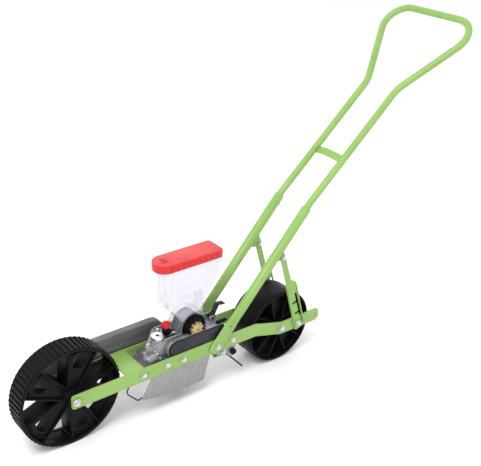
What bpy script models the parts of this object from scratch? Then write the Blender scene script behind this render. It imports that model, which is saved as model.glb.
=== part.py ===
"""One-row push seeder, built as separate pieces in Blender.

Sizes are in millimetres and the helpers turn them into metres.
Machine axes: X runs back from the front axle towards the handle, -Y is the machine's left
side and Z is up from the ground. The empty "machine" then carries the front axle forward, so
that the whole seeder stands centred over the origin.
"""
import math

import bmesh
import bpy
from mathutils import Matrix, Vector

MM = 0.001
GAP = 0.3

# Wheels and frame
FRONT_R = 140.0
FRONT_WIDTH = 66.0
REAR_R = 112.5
REAR_WIDTH = 94.0
REAR_X = 673.0
BAR_IN = 50.0
BAR_THICK = 4.0
BAR_TALL = 40.0
BAR_FRONT_X = -12.0
BAR_END_X = 822.0
BAR_DROP_START = 575.0
BAR_DROP_END = 672.0
BAR_OUT = BAR_IN + BAR_THICK
AXLE_Z = FRONT_R
PLATE_BOLT_X = 198.0
BODY_BOLT_X = (273.0, 324.0)
TINE_BOLT_X = 492.0

# Drive: front axle sprocket, cross shaft, spacing chain, seed roller
SHAFT_X = 304.0
SHAFT_Z = 176.0
PITCH = 12.7
DRIVE_TEETH = 28
SHAFT_TEETH = 12
SPACING_PITCH = 6.35
SPACING_TEETH = 12
SPACING_X = 440.0
DRIVE_Y = 68.0
SPACING_Y = -40.0
ROLLER_X = 376.0
ROLLER_Z = 211.5
ROLLER_R = 34.0
HOUSING_R = 48.0
STAR_R = 20.0
CASE_R = 26.0

# Seeder body
BODY_FRONT = 205.0
BODY_REAR = 462.0
BODY_LEFT = -33.0
BODY_RIGHT = 42.5
BODY_LOW = 128.0
NOSE_LEFT = (212.0, -36.0)
NOSE_RIGHT = (271.0, 28.0)
DECK = 200.0

# Hopper
LID_FRONT = 265.0
LID_REAR = 466.0
LID_HALF = 34.0
LID_LOW = 401.0
LID_TOP = 424.0
HOPPER_HALF = 31.5
HOPPER_WALL = 2.0

# Handle
PIVOT = (434.0, 141.0)
TUBE_Y = 57.3
LOWER_OD = 27.0
LOWER_BORE = 10.5
BORE_DEPTH = 300.0
UPPER_R = 10.0
UPPER_WALL = 1.8
MOUTH = (735.0, 484.0)
UPPER_ANGLE = math.radians(42.3)
STRAIGHT = 432.0
FLARE = 271.0
CORNER_HALF = 186.0
CORNER_R = 62.0
STRUT_TOP = (660.0, 350.0)
STRUT_FOOT = (736.0, 110.0)

HANDLE_BACK_X = MOUTH[0] + (STRAIGHT + FLARE) * math.cos(UPPER_ANGLE) + UPPER_R
MACHINE_X = FRONT_R - (FRONT_R + HANDLE_BACK_X) / 2.0

COLOURS = {
    "green_paint": ((0.33, 0.57, 0.11), 0.0, 0.42),
    "black_plastic": ((0.035, 0.035, 0.040), 0.0, 0.55),
    "cast_aluminium": ((0.36, 0.36, 0.38), 1.0, 0.45),
    "slate_plastic": ((0.06, 0.065, 0.07), 0.0, 0.50),
    "guard_plastic": ((0.12, 0.12, 0.13), 0.0, 0.50),
    "zinc": ((0.70, 0.71, 0.72), 1.0, 0.30),
    "galvanised": ((0.62, 0.63, 0.66), 1.0, 0.42),
    "dark_steel": ((0.06, 0.06, 0.065), 1.0, 0.45),
    "brass": ((0.72, 0.56, 0.30), 1.0, 0.40),
    "clear_plastic": ((0.85, 0.86, 0.88), 0.0, 0.12),
    "red_plastic": ((0.62, 0.03, 0.05), 0.0, 0.35),
}


# ---------------------------------------------------------------- scene and helpers

def clear_scene():
    for obj in list(bpy.data.objects):
        bpy.data.objects.remove(obj, do_unlink=True)


def make_materials():
    for name, (colour, metallic, roughness) in COLOURS.items():
        mat = bpy.data.materials.new(name)
        mat.use_nodes = True
        shader = mat.node_tree.nodes["Principled BSDF"]
        shader.inputs["Base Color"].default_value = (*colour, 1.0)
        shader.inputs["Metallic"].default_value = metallic
        shader.inputs["Roughness"].default_value = roughness


def vec(x, y, z):
    return Vector((x, y, z)) * MM


def add_object(name, data, at=(0.0, 0.0, 0.0), turn=(0.0, 0.0, 0.0)):
    obj = bpy.data.objects.new(name, data)
    bpy.context.scene.collection.objects.link(obj)
    obj.location = vec(*at)
    obj.rotation_euler = turn
    return obj


def from_bmesh(name, bm, at=(0.0, 0.0, 0.0), turn=(0.0, 0.0, 0.0)):
    mesh = bpy.data.meshes.new(name)
    bm.to_mesh(mesh)
    bm.free()
    return add_object(name, mesh, at, turn)


def evaluated_mesh(obj):
    """The object's mesh with its modifiers applied and loose caps welded."""
    bpy.context.view_layer.update()
    graph = bpy.context.evaluated_depsgraph_get()
    mesh = bpy.data.meshes.new_from_object(obj.evaluated_get(graph))
    bm = bmesh.new()
    bm.from_mesh(mesh)
    bmesh.ops.remove_doubles(bm, verts=bm.verts, dist=0.00002)
    bm.to_mesh(mesh)
    bm.free()
    return mesh


def as_mesh(obj):
    """Replace a curve or a modified object by its plain mesh, in the same place."""
    name = obj.name
    mesh = evaluated_mesh(obj)
    matrix = obj.matrix_world.copy()
    bpy.data.objects.remove(obj, do_unlink=True)
    mesh.name = name
    solid = add_object(name, mesh)
    solid.matrix_world = matrix
    return solid


def combine(target, tools, operation):
    """Join, cut or intersect a mesh with other meshes, which are used up."""
    for tool in tools:
        modifier = target.modifiers.new(operation.lower(), "BOOLEAN")
        modifier.operation = operation
        modifier.solver = "EXACT"
        modifier.object = tool
    target.data = evaluated_mesh(target)
    target.modifiers.clear()
    for tool in tools:
        bpy.data.objects.remove(tool, do_unlink=True)
    return target


def unite(target, *tools):
    return combine(target, tools, "UNION")


def cut(target, *tools):
    return combine(target, tools, "DIFFERENCE")


def block(x0, x1, y0, y1, z0, z1, name="block"):
    """A box between two corners, with its origin at its middle."""
    bm = bmesh.new()
    bmesh.ops.create_cube(bm, size=1.0)
    bmesh.ops.scale(bm, vec=vec(x1 - x0, y1 - y0, z1 - z0), verts=bm.verts)
    return from_bmesh(name, bm, ((x0 + x1) / 2, (y0 + y1) / 2, (z0 + z1) / 2))


def cross_cylinder(x, z, radius, y0, y1, sides=16, name="cylinder"):
    """A cylinder across the machine, along Y."""
    bm = bmesh.new()
    bmesh.ops.create_cone(bm, cap_ends=True, segments=sides, radius1=radius * MM,
                          radius2=radius * MM, depth=(y1 - y0) * MM)
    return from_bmesh(name, bm, (x, (y0 + y1) / 2, z), (math.pi / 2, 0.0, 0.0))


def upright_cylinder(x, y, radius, z0, z1, sides=24, name="cylinder"):
    bm = bmesh.new()
    bmesh.ops.create_cone(bm, cap_ends=True, segments=sides, radius1=radius * MM,
                          radius2=radius * MM, depth=(z1 - z0) * MM)
    return from_bmesh(name, bm, (x, y, (z0 + z1) / 2))


def turned(name, profile, at, turn=(-math.pi / 2, 0.0, 0.0), steps=32, closed=False):
    """A profile of (radius, height) turned about its axis, which lies along +Y by default.

    The profile runs down its outer side. A closed one comes back up its bore.
    """
    bm = bmesh.new()
    verts = [bm.verts.new((radius * MM, 0.0, height * MM)) for radius, height in profile]
    for first, second in zip(verts, verts[1:]):
        bm.edges.new((first, second))
    if closed:
        bm.edges.new((verts[-1], verts[0]))
    obj = from_bmesh(name, bm, at, turn)
    screw = obj.modifiers.new("turn", "SCREW")
    screw.axis = "Z"
    screw.steps = steps
    screw.render_steps = steps
    screw.use_merge_vertices = True
    screw.merge_threshold = 0.00002
    return as_mesh(obj)


def arc(centre, radius, start, end, count):
    """Points on an arc, its ends included; angles in degrees."""
    points = []
    for i in range(count + 1):
        angle = math.radians(start + (end - start) * i / count)
        points.append((centre[0] + radius * math.cos(angle), centre[1] + radius * math.sin(angle)))
    return points


def circle(centre, radius, count=16):
    return arc(centre, radius, 0.0, 360.0, count)[:-1]


def rounded(points, radius, count=3, closed=True):
    """The outline with its corners rounded. A corner's radius may follow its two numbers."""
    result = []
    total = len(points)
    for i, point in enumerate(points):
        here = Vector(point[:2])
        size = point[2] if len(point) > 2 else radius
        if size == 0 or (not closed and i in (0, total - 1)):
            result.append(tuple(here))
            continue
        before = (Vector(points[i - 1][:2]) - here).normalized()
        after = (Vector(points[(i + 1) % total][:2]) - here).normalized()
        half = before.angle(after) / 2.0
        centre = here + (before + after).normalized() * size / math.sin(half)
        first = here + before * size / math.tan(half) - centre
        last = here + after * size / math.tan(half) - centre
        sweep = first.angle_signed(last)
        for k in range(count + 1):
            spoke = first.copy()
            spoke.rotate(Matrix.Rotation(-sweep * k / count, 2))
            result.append(tuple(centre + spoke))
    return result


def flat(name, outline, y0, y1, holes=(), origin=(0.0, 0.0)):
    """A flat plate standing along the machine: an XZ outline between two Y faces."""
    curve = bpy.data.curves.new(name, "CURVE")
    curve.dimensions = "2D"
    curve.fill_mode = "BOTH"
    curve.extrude = (y1 - y0) / 2 * MM
    for loop in (outline, *holes):
        spline = curve.splines.new("POLY")
        spline.points.add(len(loop) - 1)
        for point, (x, z) in zip(spline.points, loop):
            point.co = ((x - origin[0]) * MM, (z - origin[1]) * MM, 0.0, 1.0)
        spline.use_cyclic_u = True
    obj = add_object(name, curve, (origin[0], (y0 + y1) / 2, origin[1]), (math.pi / 2, 0.0, 0.0))
    return as_mesh(obj)


def rod(name, points, radius, resolution=2, origin=(0.0, 0.0, 0.0), wall=0.0):
    """A round bar along a path of points, or a tube with open ends if it has a wall."""
    curve = bpy.data.curves.new(name, "CURVE")
    curve.dimensions = "3D"
    curve.bevel_depth = radius * MM
    curve.bevel_resolution = resolution
    curve.use_fill_caps = wall == 0.0
    spline = curve.splines.new("POLY")
    spline.points.add(len(points) - 1)
    for point, place in zip(spline.points, points):
        point.co = (*(vec(*place) - vec(*origin)), 1.0)
    bar = as_mesh(add_object(name, curve, origin))
    if wall == 0.0:
        return bar
    skin = bar.modifiers.new("wall", "SOLIDIFY")
    skin.thickness = wall * MM
    skin.offset = -1.0
    skin.use_even_offset = True
    return as_mesh(bar)


def smooth_path(points, radius, count=5):
    """A bent path in the plane of the points' own corners, each rounded to a radius."""
    path = [Vector(points[0][:3])]
    for before, here, after in zip(points, points[1:], points[2:]):
        corner = Vector(here[:3])
        size = here[3] if len(here) > 3 else radius
        back = (Vector(before[:3]) - corner).normalized()
        ahead = (Vector(after[:3]) - corner).normalized()
        half = back.angle(ahead) / 2.0
        centre = corner + (back + ahead).normalized() * size / math.sin(half)
        first = corner + back * size / math.tan(half) - centre
        last = corner + ahead * size / math.tan(half) - centre
        for k in range(count + 1):
            path.append(centre + first.slerp(last, k / count).normalized() * size)
    path.append(Vector(points[-1][:3]))
    return [tuple(point) for point in path]


def finish(obj, material, smooth_angle=35.0):
    """Give a finished piece its material and smooth its round faces."""
    obj.data.materials.clear()
    obj.data.materials.append(bpy.data.materials[material])
    obj.data.shade_smooth()
    obj.data.set_sharp_from_angle(angle=math.radians(smooth_angle))
    return obj


def mirrored(obj, name):
    """The right-hand piece that matches a left-hand one."""
    mesh = obj.data.copy()
    twin = add_object(name, mesh)
    mesh.transform(obj.matrix_world)
    mesh.transform(Matrix.Scale(-1.0, 4, (0.0, 1.0, 0.0)))
    mesh.flip_normals()
    place = obj.matrix_world.translation
    twin.location = (place.x, -place.y, place.z)
    mesh.transform(Matrix.Translation(-twin.location))
    return twin


# ---------------------------------------------------------------- fasteners

def hex_bolt(name, x, z, side, grip, head=7.0, shank=3.0, nut=True, face=BAR_OUT):
    """A hexagon bolt through a side plate: head outside, nut at the end of its grip."""
    washer = 1.6
    outer = face + GAP
    bolt = cross_cylinder(x, z, head, -outer - washer - 4.5, -outer - washer + 0.1, 6, name)
    parts = [cross_cylinder(x, z, head + 2.0, -outer - washer, -outer, 16),
             cross_cylinder(x, z, shank, -outer - 1.0, -outer + grip + 6.0, 10)]
    if nut:
        parts.append(cross_cylinder(x, z, head - 0.5, -outer + grip, -outer + grip + 4.5, 6))
    unite(bolt, *parts)
    finish(bolt, "zinc", 30.0)
    if side > 0:
        right = mirrored(bolt, name)
        bpy.data.objects.remove(bolt, do_unlink=True)
        right.name = name
        finish(right, "zinc", 30.0)
        return right
    return bolt


def sides():
    return (("left", -1), ("right", 1))


def frame_bolts():
    grip = BAR_THICK + 2 * GAP
    for label, side in sides():
        hex_bolt(label + "_plate_bolt", PLATE_BOLT_X, AXLE_Z, side, grip + 3.2)
        for place, x in zip(("front", "rear"), BODY_BOLT_X):
            hex_bolt(f"{label}_body_bolt_{place}", x, AXLE_Z, side, grip + 3.0, nut=False)
        hex_bolt(label + "_bracket_bolt", TINE_BOLT_X, AXLE_Z, side, grip + 3.2)


# ---------------------------------------------------------------- frame

def bar_outline():
    low = AXLE_Z - BAR_TALL / 2
    high = AXLE_Z + BAR_TALL / 2
    rear_low = REAR_R - BAR_TALL / 2
    rear_high = REAR_R + BAR_TALL / 2
    return rounded([(BAR_FRONT_X, low, 8), (BAR_DROP_START, low, 30), (BAR_DROP_END, rear_low, 30),
                    (BAR_END_X, rear_low, 14), (BAR_END_X, rear_high, 14),
                    (BAR_DROP_END, rear_high, 30), (BAR_DROP_START, high, 30),
                    (BAR_FRONT_X, high, 8)], 8.0)


def frame_bars():
    holes = [circle((0.0, AXLE_Z), 6.6), circle((REAR_X, REAR_R), 5.4), circle(PIVOT, 4.4)]
    for x in (PLATE_BOLT_X, *BODY_BOLT_X, TINE_BOLT_X):
        holes.append(circle((x, AXLE_Z), 3.4, 10))
    for x in (PLATE_BOLT_X - 11, PLATE_BOLT_X + 13):
        holes.append(circle((x, AXLE_Z), 2.5, 10))
    holes.append(circle(STRUT_FOOT, 4.4, 12))
    holes.append(circle((BAR_END_X - 13, REAR_R), 3.4, 10))
    left = flat("left_frame_bar", bar_outline(), -BAR_OUT, -BAR_IN, holes)
    finish(left, "green_paint")
    finish(mirrored(left, "right_frame_bar"), "green_paint")


def scraper_plate():
    """Folded plate that ties the bars together just behind the front wheel."""
    top = 158.0
    thick = 3.0
    inside = BAR_IN - GAP
    plate = block(146.0, 203.0, -inside, inside, top - thick, top, "scraper_plate")
    tools = []
    for side in (-1, 1):
        y0, y1 = sorted((side * inside, side * (inside - thick)))
        tools.append(block(172.0, 212.0, y0, y1, 124.0, top - 1.0))
    unite(plate, *tools)
    cut(plate, cross_cylinder(PLATE_BOLT_X, AXLE_Z, 3.4, -BAR_IN, BAR_IN, 10))
    finish(plate, "green_paint")


# ---------------------------------------------------------------- wheels

def spoke_wall(start, end, thick, half_width):
    """One straight wall of a spoke, between two points in the wheel's plane."""
    run = Vector(end) - Vector(start)
    middle = (Vector(start) + Vector(end)) / 2
    bm = bmesh.new()
    bmesh.ops.create_cube(bm, size=1.0)
    bmesh.ops.scale(bm, vec=vec(run.length, 2 * half_width, thick), verts=bm.verts)
    angle = math.atan2(run.y, run.x)
    return from_bmesh("wall", bm, (middle.x, 0.0, middle.y), (0.0, -angle, 0.0))


def polar(radius, degrees, centre=(0.0, 0.0)):
    angle = math.radians(degrees)
    return (centre[0] + radius * math.cos(angle), centre[1] + radius * math.sin(angle))


def spoked_wheel(name, radius, width, rim, bore, hub, first_spoke, at):
    """Moulded wheel: a broad rim on five spokes, each a hollow wedge with a pierced web."""
    half = width / 2
    inner = radius - rim
    wheel = turned(name, [(radius, half), (radius, -half), (inner, -half), (inner, half)],
                   (0.0, 0.0, 0.0), steps=48, closed=True)
    hub_half = BAR_IN - 3.0
    parts = [turned("hub", [(hub - 5, hub_half), (hub, half - 8), (hub, 8 - half),
                            (hub - 5, -hub_half), (bore, -hub_half), (bore, hub_half)],
                    (0.0, 0.0, 0.0), steps=24, closed=True)]
    for k in range(5):
        angle = first_spoke + 72.0 * k
        for side in (-1, 1):
            root = polar(hub - 2.5, angle + side * 44.0)
            tip = polar(inner + rim * 0.4, angle + side * 17.0)
            parts.append(spoke_wall(root, tip, 4.0, half - 5.0))
        web = [polar(hub - 2, angle - 43), polar(inner + 2, angle - 17), polar(inner + 2, angle + 17),
               polar(hub - 2, angle + 43)]
        window = rounded([polar(radius * 0.55, angle - 10), polar(radius * 0.8, angle - 11),
                          polar(radius * 0.8, angle + 11), polar(radius * 0.55, angle + 10)], 5.0, 2)
        parts.append(flat("web", web, 11.0 - half, 14.0 - half, [window]))
    unite(wheel, *parts)
    wheel.location = vec(*at)
    return finish(wheel, "black_plastic")


def front_wheel():
    spoked_wheel("front_wheel", FRONT_R, FRONT_WIDTH, 9.0, 6.4, 21.0, 215.0, (0.0, 0.0, AXLE_Z))
    axle = turned("front_axle", [(0, 77), (9.5, 77), (9.5, 71), (6, 71), (6, -56), (11, -56),
                                 (11, -58), (9.5, -58), (9.5, -64), (6, -64), (6, -66), (0, -66)],
                  (0.0, 0.0, AXLE_Z), steps=20)
    finish(axle, "zinc", 30.0)


def rear_wheel():
    spoked_wheel("rear_wheel", REAR_R, REAR_WIDTH, 8.0, 5.4, 20.0, 235.0, (REAR_X, 0.0, REAR_R))
    end = BAR_OUT + GAP
    axle = turned("rear_axle", [(0, end + 9), (5, end + 9), (5, end + 8), (9, end + 8), (9, end + 2),
                                (11, end + 2), (11, end), (5, end), (5, -end), (11, -end),
                                (11, -end - 2), (9, -end - 2), (9, -end - 8), (0, -end - 8)],
                  (REAR_X, 0.0, REAR_R), steps=20)
    finish(axle, "zinc", 30.0)


# ---------------------------------------------------------------- drive

def pitch_radius(teeth, pitch=PITCH):
    return pitch / (2 * math.sin(math.pi / teeth))


def sprocket_outline(teeth, centre, pitch=PITCH):
    """Simple sprocket teeth: a tip and a valley for each."""
    tip = pitch_radius(teeth, pitch) + 0.04 * pitch
    root = pitch_radius(teeth, pitch) - 0.4 * pitch
    points = []
    for i in range(teeth):
        for share, radius in ((-0.14, tip), (0.14, tip), (0.36, root), (0.64, root)):
            points.append(polar(radius, 360.0 * (i + share) / teeth, centre))
    return points


def racetrack(first, r1, second, r2, count=16):
    """The outline that wraps two circles, like a belt round two pulleys."""
    a = Vector(first)
    b = Vector(second)
    run = b - a
    heading = math.degrees(math.atan2(run.y, run.x))
    lean = math.degrees(math.asin((r1 - r2) / run.length))
    return (arc(first, r1, heading + 90 - lean, heading + 270 + lean, count)
            + arc(second, r2, heading - 90 + lean, heading + 90 - lean, count))


def chain_loop(name, first, r1, second, r2, y, width, pitch=PITCH):
    """A chain as a plain band that runs just clear of the sprocket tips."""
    near = 0.08 * pitch
    far = 0.33 * pitch
    outer = racetrack(first, r1 + far, second, r2 + far)
    inner = racetrack(first, r1 + near, second, r2 + near)
    return finish(flat(name, outer, y - width / 2, y + width / 2, [inner]), "dark_steel")


def drive_train():
    axle = (0.0, AXLE_Z)
    shaft = (SHAFT_X, SHAFT_Z)
    spacing = (SPACING_X, SHAFT_Z)
    big = flat("drive_sprocket", sprocket_outline(DRIVE_TEETH, axle), DRIVE_Y - 2, DRIVE_Y + 2,
               [circle(axle, 6.4)] + [circle(polar(33, 72 * k, axle), 9, 10) for k in range(5)], axle)
    finish(big, "dark_steel", 20.0)
    small = flat("shaft_sprocket", sprocket_outline(SHAFT_TEETH, shaft), DRIVE_Y - 2, DRIVE_Y + 2,
                 [circle(shaft, 6.3)], shaft)
    finish(small, "dark_steel", 20.0)
    chain_loop("drive_chain", axle, pitch_radius(DRIVE_TEETH), shaft, pitch_radius(SHAFT_TEETH),
               DRIVE_Y, 8.0)
    cross = turned("drive_shaft", [(0, 76), (8, 76), (8, 70.5), (6, 70.5), (6, 65.5), (8, 65.5),
                                   (8, -37.7), (5, -37.7), (5, -44.5), (0, -44.5)],
                   (SHAFT_X, 0.0, SHAFT_Z), steps=16)
    finish(cross, "zinc", 30.0)
    near = flat("spacing_sprocket_front", sprocket_outline(SPACING_TEETH, shaft, SPACING_PITCH),
                SPACING_Y - 1.5, SPACING_Y + 1.5, [circle(shaft, 5.3, 12)], shaft)
    finish(near, "dark_steel", 20.0)
    far = flat("spacing_sprocket_rear", sprocket_outline(SPACING_TEETH, spacing, SPACING_PITCH),
               SPACING_Y - 1.5, SPACING_Y + 1.5, (), spacing)
    finish(unite(far, cross_cylinder(SPACING_X, SHAFT_Z, 5.0, -44.0, -26.0)), "dark_steel", 20.0)
    radius = pitch_radius(SPACING_TEETH, SPACING_PITCH)
    chain_loop("spacing_chain", shaft, radius, spacing, radius, SPACING_Y, 5.0, SPACING_PITCH)


def chain_case():
    """Obround tray on the body's left side that holds the spacing chain."""
    outer = racetrack((SHAFT_X, SHAFT_Z), CASE_R, (SPACING_X + 8, SHAFT_Z), CASE_R, 12)
    inner = racetrack((SHAFT_X, SHAFT_Z), CASE_R - 2.5, (SPACING_X + 8, SHAFT_Z), CASE_R - 2.5, 12)
    case = flat("chain_case", outer, -46.0, BODY_LEFT - GAP)
    cut(case, flat("space", inner, -47.0, BODY_LEFT - 2.5),
        cross_cylinder(SHAFT_X, SHAFT_Z, 8.4, -40.0, -30.0),
        cross_cylinder(SPACING_X, SHAFT_Z, 5.3, -40.0, -30.0),
        block(ROLLER_X - 24, ROLLER_X + 30, -50.0, BODY_LEFT + 2, SHAFT_Z + 14, DECK + 10))
    finish(case, "cast_aluminium")
    cover = flat("chain_cover", racetrack((SHAFT_X + 2, SHAFT_Z), CASE_R - 3.5,
                                          (SPACING_X + 6, SHAFT_Z), CASE_R - 3.5, 12), -49.2, -46.3)
    finish(cover, "slate_plastic")


def chain_guard():
    """Moulded cover over the drive chain on the right side, with a back plate."""
    axle = (0.0, AXLE_Z)
    shaft = (SHAFT_X, SHAFT_Z)
    back = 61.0
    guard = flat("chain_guard", racetrack(axle, 67, shaft, 33, 14), back + 2 + GAP, 84.0)
    cut(guard, flat("space", racetrack(axle, 65, shaft, 31, 14), back, 82.0))
    finish(guard, "guard_plastic")
    holes = [circle(axle, 12), circle(shaft, 9)]
    plate = flat("chain_guard_back", racetrack(axle, 66.5, shaft, 32.5, 14), back, back + 2, holes)
    finish(plate, "guard_plastic")


# ---------------------------------------------------------------- seeder body

def nose_corner():
    """The block that slants off the body's front, from its left side back to its right."""
    run = Vector(NOSE_RIGHT) - Vector(NOSE_LEFT)
    middle = (Vector(NOSE_RIGHT) + Vector(NOSE_LEFT)) / 2 + Vector((-run.y, run.x)).normalized() * 50
    corner = block(-100.0, 100.0, -50.0, 50.0, -150.0, 150.0)
    corner.location = vec(middle.x, middle.y, 150.0)
    corner.rotation_euler = (0.0, 0.0, math.atan2(run.y, run.x))
    return corner


def seeder_body():
    """Cast body, open underneath, with a deck that carries the roller and the hopper."""
    nose = rounded([(BODY_FRONT, 168), (BODY_FRONT, 186), (BODY_FRONT + 16, DECK, 6), (BODY_REAR, DECK, 4),
                    (BODY_REAR, BODY_LOW), (262, BODY_LOW), (236, 152), (222, 160)], 3.0, 2)
    body = flat("seeder_body", nose, BODY_LEFT, BODY_RIGHT)
    cut(body, nose_corner())
    rail_top = AXLE_Z + 8
    rails = [block(258, 340, -48.0, BODY_LEFT + 1, BODY_LOW + 0.5, rail_top),
             block(258, 340, BODY_RIGHT - 1, 48.0, BODY_LOW + 0.5, rail_top),
             cross_cylinder(232, 172, 14, -44.0, BODY_LEFT + 1),
             cross_cylinder(217, 176, 8, -40.0, BODY_LEFT + 1),
             block(238, 262, -40.0, BODY_LEFT + 1, 155, 166),
             block(436, 458, -18.0, -13.5, DECK - 1, DECK + 14),
             block(436, 458, 3.5, 8.0, DECK - 1, DECK + 14)]
    unite(body, *rails)
    cut(body, block(290, BODY_REAR - 4, BODY_LEFT + 4, BODY_RIGHT - 4, BODY_LOW - 5, DECK - 6),
        block(246, 291, BODY_LEFT + 4, -10.0, BODY_LOW - 5, DECK - 6.5),
        block(ROLLER_X - 40, ROLLER_X + 40, -40.0, 27.5, 172.0, DECK + 5),
        cross_cylinder(SHAFT_X, SHAFT_Z, 8.4, -60.0, 60.0),
        cross_cylinder(SPACING_X, SHAFT_Z, 5.3, -40.0, -20.0),
        cross_cylinder(447, DECK + 8, 3.4, -20.0, 10.0, 10))
    cut(body, *[cross_cylinder(x, AXLE_Z, 3.4, y0, y1, 10) for x in BODY_BOLT_X
                for y0, y1 in ((-49.0, -39.0), (39.0, 49.0))])
    finish(body, "cast_aluminium")


def clamp_nut():
    """Round nut with an open thread on the deck's front corner."""
    nut = turned("clamp_nut", [(19, 14), (19, 4), (16, 3), (16, 0), (5, 0), (5, 14)],
                 (268.0, -12.0, DECK + GAP), (0.0, 0.0, 0.0), 24, True)
    finish(nut, "zinc")


def gate_knob():
    x = 303.0
    base = turned("gate_base", [(0, 21), (9, 21), (11, 16), (11, 0), (0, 0)],
                  (x, 0.0, DECK + GAP), (0.0, 0.0, 0.0), 24)
    finish(base, "black_plastic")
    flutes = [polar(12.0 if k % 2 else 10.6, 15.0 * k) for k in range(24)]
    knob = flat("gate_knob", flutes, -8.5, 8.5)
    knob.rotation_euler = (0.0, 0.0, 0.0)
    knob.location = vec(x, 0.0, DECK + 21 + 2 * GAP + 8.5)
    finish(knob, "red_plastic")


def seed_roller():
    axis = (ROLLER_X, 0.0, ROLLER_Z)
    roller = turned("seed_roller", [(ROLLER_R, 26), (ROLLER_R, -26), (20, -26), (20, -27.5),
                                    (5.3, -27.5), (5.3, 26)], axis, steps=36, closed=True)
    ring = flat("ring", [polar(36.5 if k % 2 else 34.0, 7.5 * k, (ROLLER_X, ROLLER_Z))
                         for k in range(48)],
                -32.5, -26.5, [circle((ROLLER_X, ROLLER_Z), 12.0, 16)])
    finish(unite(roller, ring), "black_plastic")
    shaft = turned("shaft", [(0, 26), (5, 26), (5, -46), (3.5, -47), (0, -47)], axis, steps=16)
    tips = []
    for k in range(9):
        for share, radius in ((-0.2, STAR_R), (0.2, STAR_R), (0.32, STAR_R - 6), (0.68, STAR_R - 6)):
            tips.append(polar(radius, 40.0 * (k + share) + 10.0, (ROLLER_X, ROLLER_Z)))
    star = flat("roller_star", tips, -44.5, -34.5, (), (ROLLER_X, ROLLER_Z))
    finish(unite(star, shaft), "brass", 20.0)


def roller_housing():
    """Clear stepped dome over the roller, with a seed window under the hopper."""
    r = HOUSING_R
    profile = [(r, 30), (r, -8), (r - 4, -10), (r - 4, -17), (r - 8, -19), (r - 8, -26),
               (r - 10, -26), (r - 10, -17.5), (r - 6, -15.5), (r - 6, -8.8), (r - 2, -6.8),
               (r - 2, 28), (7, 28), (7, 30)]
    dome = turned("roller_housing", profile, (ROLLER_X, 0.0, ROLLER_Z), steps=40, closed=True)
    cut(dome, block(300, 450, -60, 60, 100, DECK + GAP),
        block(ROLLER_X - 32, ROLLER_X + 6, -3, 24, ROLLER_Z + 20, ROLLER_Z + 60))
    finish(dome, "clear_plastic")


# ---------------------------------------------------------------- hopper

def d_shape(front, rear, half, z0, z1, name="d_shape"):
    """Plan shape of the hopper: round at the front and square at the rear."""
    plan = arc((front + half, 0.0), half, 90.0, 270.0, 14)
    corner = min(8.0, half / 3)
    plan += arc((rear - corner, corner - half), corner, -90.0, 0.0, 3)
    plan += arc((rear - corner, half - corner), corner, 0.0, 90.0, 3)
    shape = flat(name, plan, 0.0, z1 - z0)
    shape.rotation_euler = (0.0, 0.0, 0.0)
    shape.location = vec(0.0, 0.0, (z0 + z1) / 2)
    return shape


def hopper_solid(inset, low, high, name):
    """The hopper's outside, or its inside when it is drawn in by the wall."""
    wall = inset * 1.25
    side = [(279 + inset, high), (279 + inset, 400), (295 + inset, 290), (336 + wall, 246),
            (336 + wall, low), (402 - wall, low), (402 - wall, 268), (462 - inset, 366),
            (464 - inset, 400), (464 - inset, high)]
    solid = flat(name, side, -HOPPER_HALF - 5, HOPPER_HALF + 5)
    plan = d_shape(279 + inset, 464 - inset, HOPPER_HALF - inset, low, high)
    return combine(solid, [plan], "INTERSECT")


def hopper():
    shell = hopper_solid(0.0, 232.0, LID_TOP - 4.0, "hopper")
    cut(shell, hopper_solid(HOPPER_WALL, 230.0, LID_TOP, "inside"))
    cut(shell, cross_cylinder(ROLLER_X, ROLLER_Z, HOUSING_R + 0.6, -60, 60, 40))
    finish(shell, "clear_plastic")
    lid = d_shape(LID_FRONT, LID_REAR, LID_HALF, LID_LOW, LID_TOP, "hopper_lid")
    cut(lid, d_shape(LID_FRONT + 2, LID_REAR - 1.7, LID_HALF - 2, LID_LOW - 1, LID_TOP - 3.5))
    finish(lid, "red_plastic")


def latches():
    """Sprung release lever behind the hopper and the catch of the chain cover."""
    strip = rounded([(443.5, DECK + 2), (451.5, DECK + 2), (471, 239), (492, 236), (492.5, 239.3),
                     (468.5, 243)], 1.0, 1)
    lever = flat("hopper_latch", strip, -13.0, 3.0, (), (447.0, DECK + 8))
    finish(unite(lever, cross_cylinder(447, DECK + 8, 3.0, -19.5, 9.5, 10)), "dark_steel")
    top = SHAFT_Z + CASE_R
    hook = flat("case_catch", rounded([(441, top + 2.5), (452, top + GAP), (474, top + 4), (478, top + 9),
                                       (462, top + 8), (444, top + 9)], 1.5, 2), -45.5, -36.0,
                (), (444.0, top + 5))
    finish(hook, "black_plastic")


# ---------------------------------------------------------------- soil tools

def skirts():
    """Sheet metal skirts that hang from the bars on both sides of the opener."""
    outline = rounded([(243, 148, 0), (193, 60, 4), (253, 43, 60), (319, 38, 200), (397, 41, 6),
                       (424, 148, 0)], 5.0, 3)
    holes = [circle((x, AXLE_Z), 3.5, 10) for x in BODY_BOLT_X]
    left = flat("left_skirt", outline, -49.7, -48.3, holes)
    finish(left, "galvanised")
    finish(mirrored(left, "right_skirt"), "galvanised")


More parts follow.
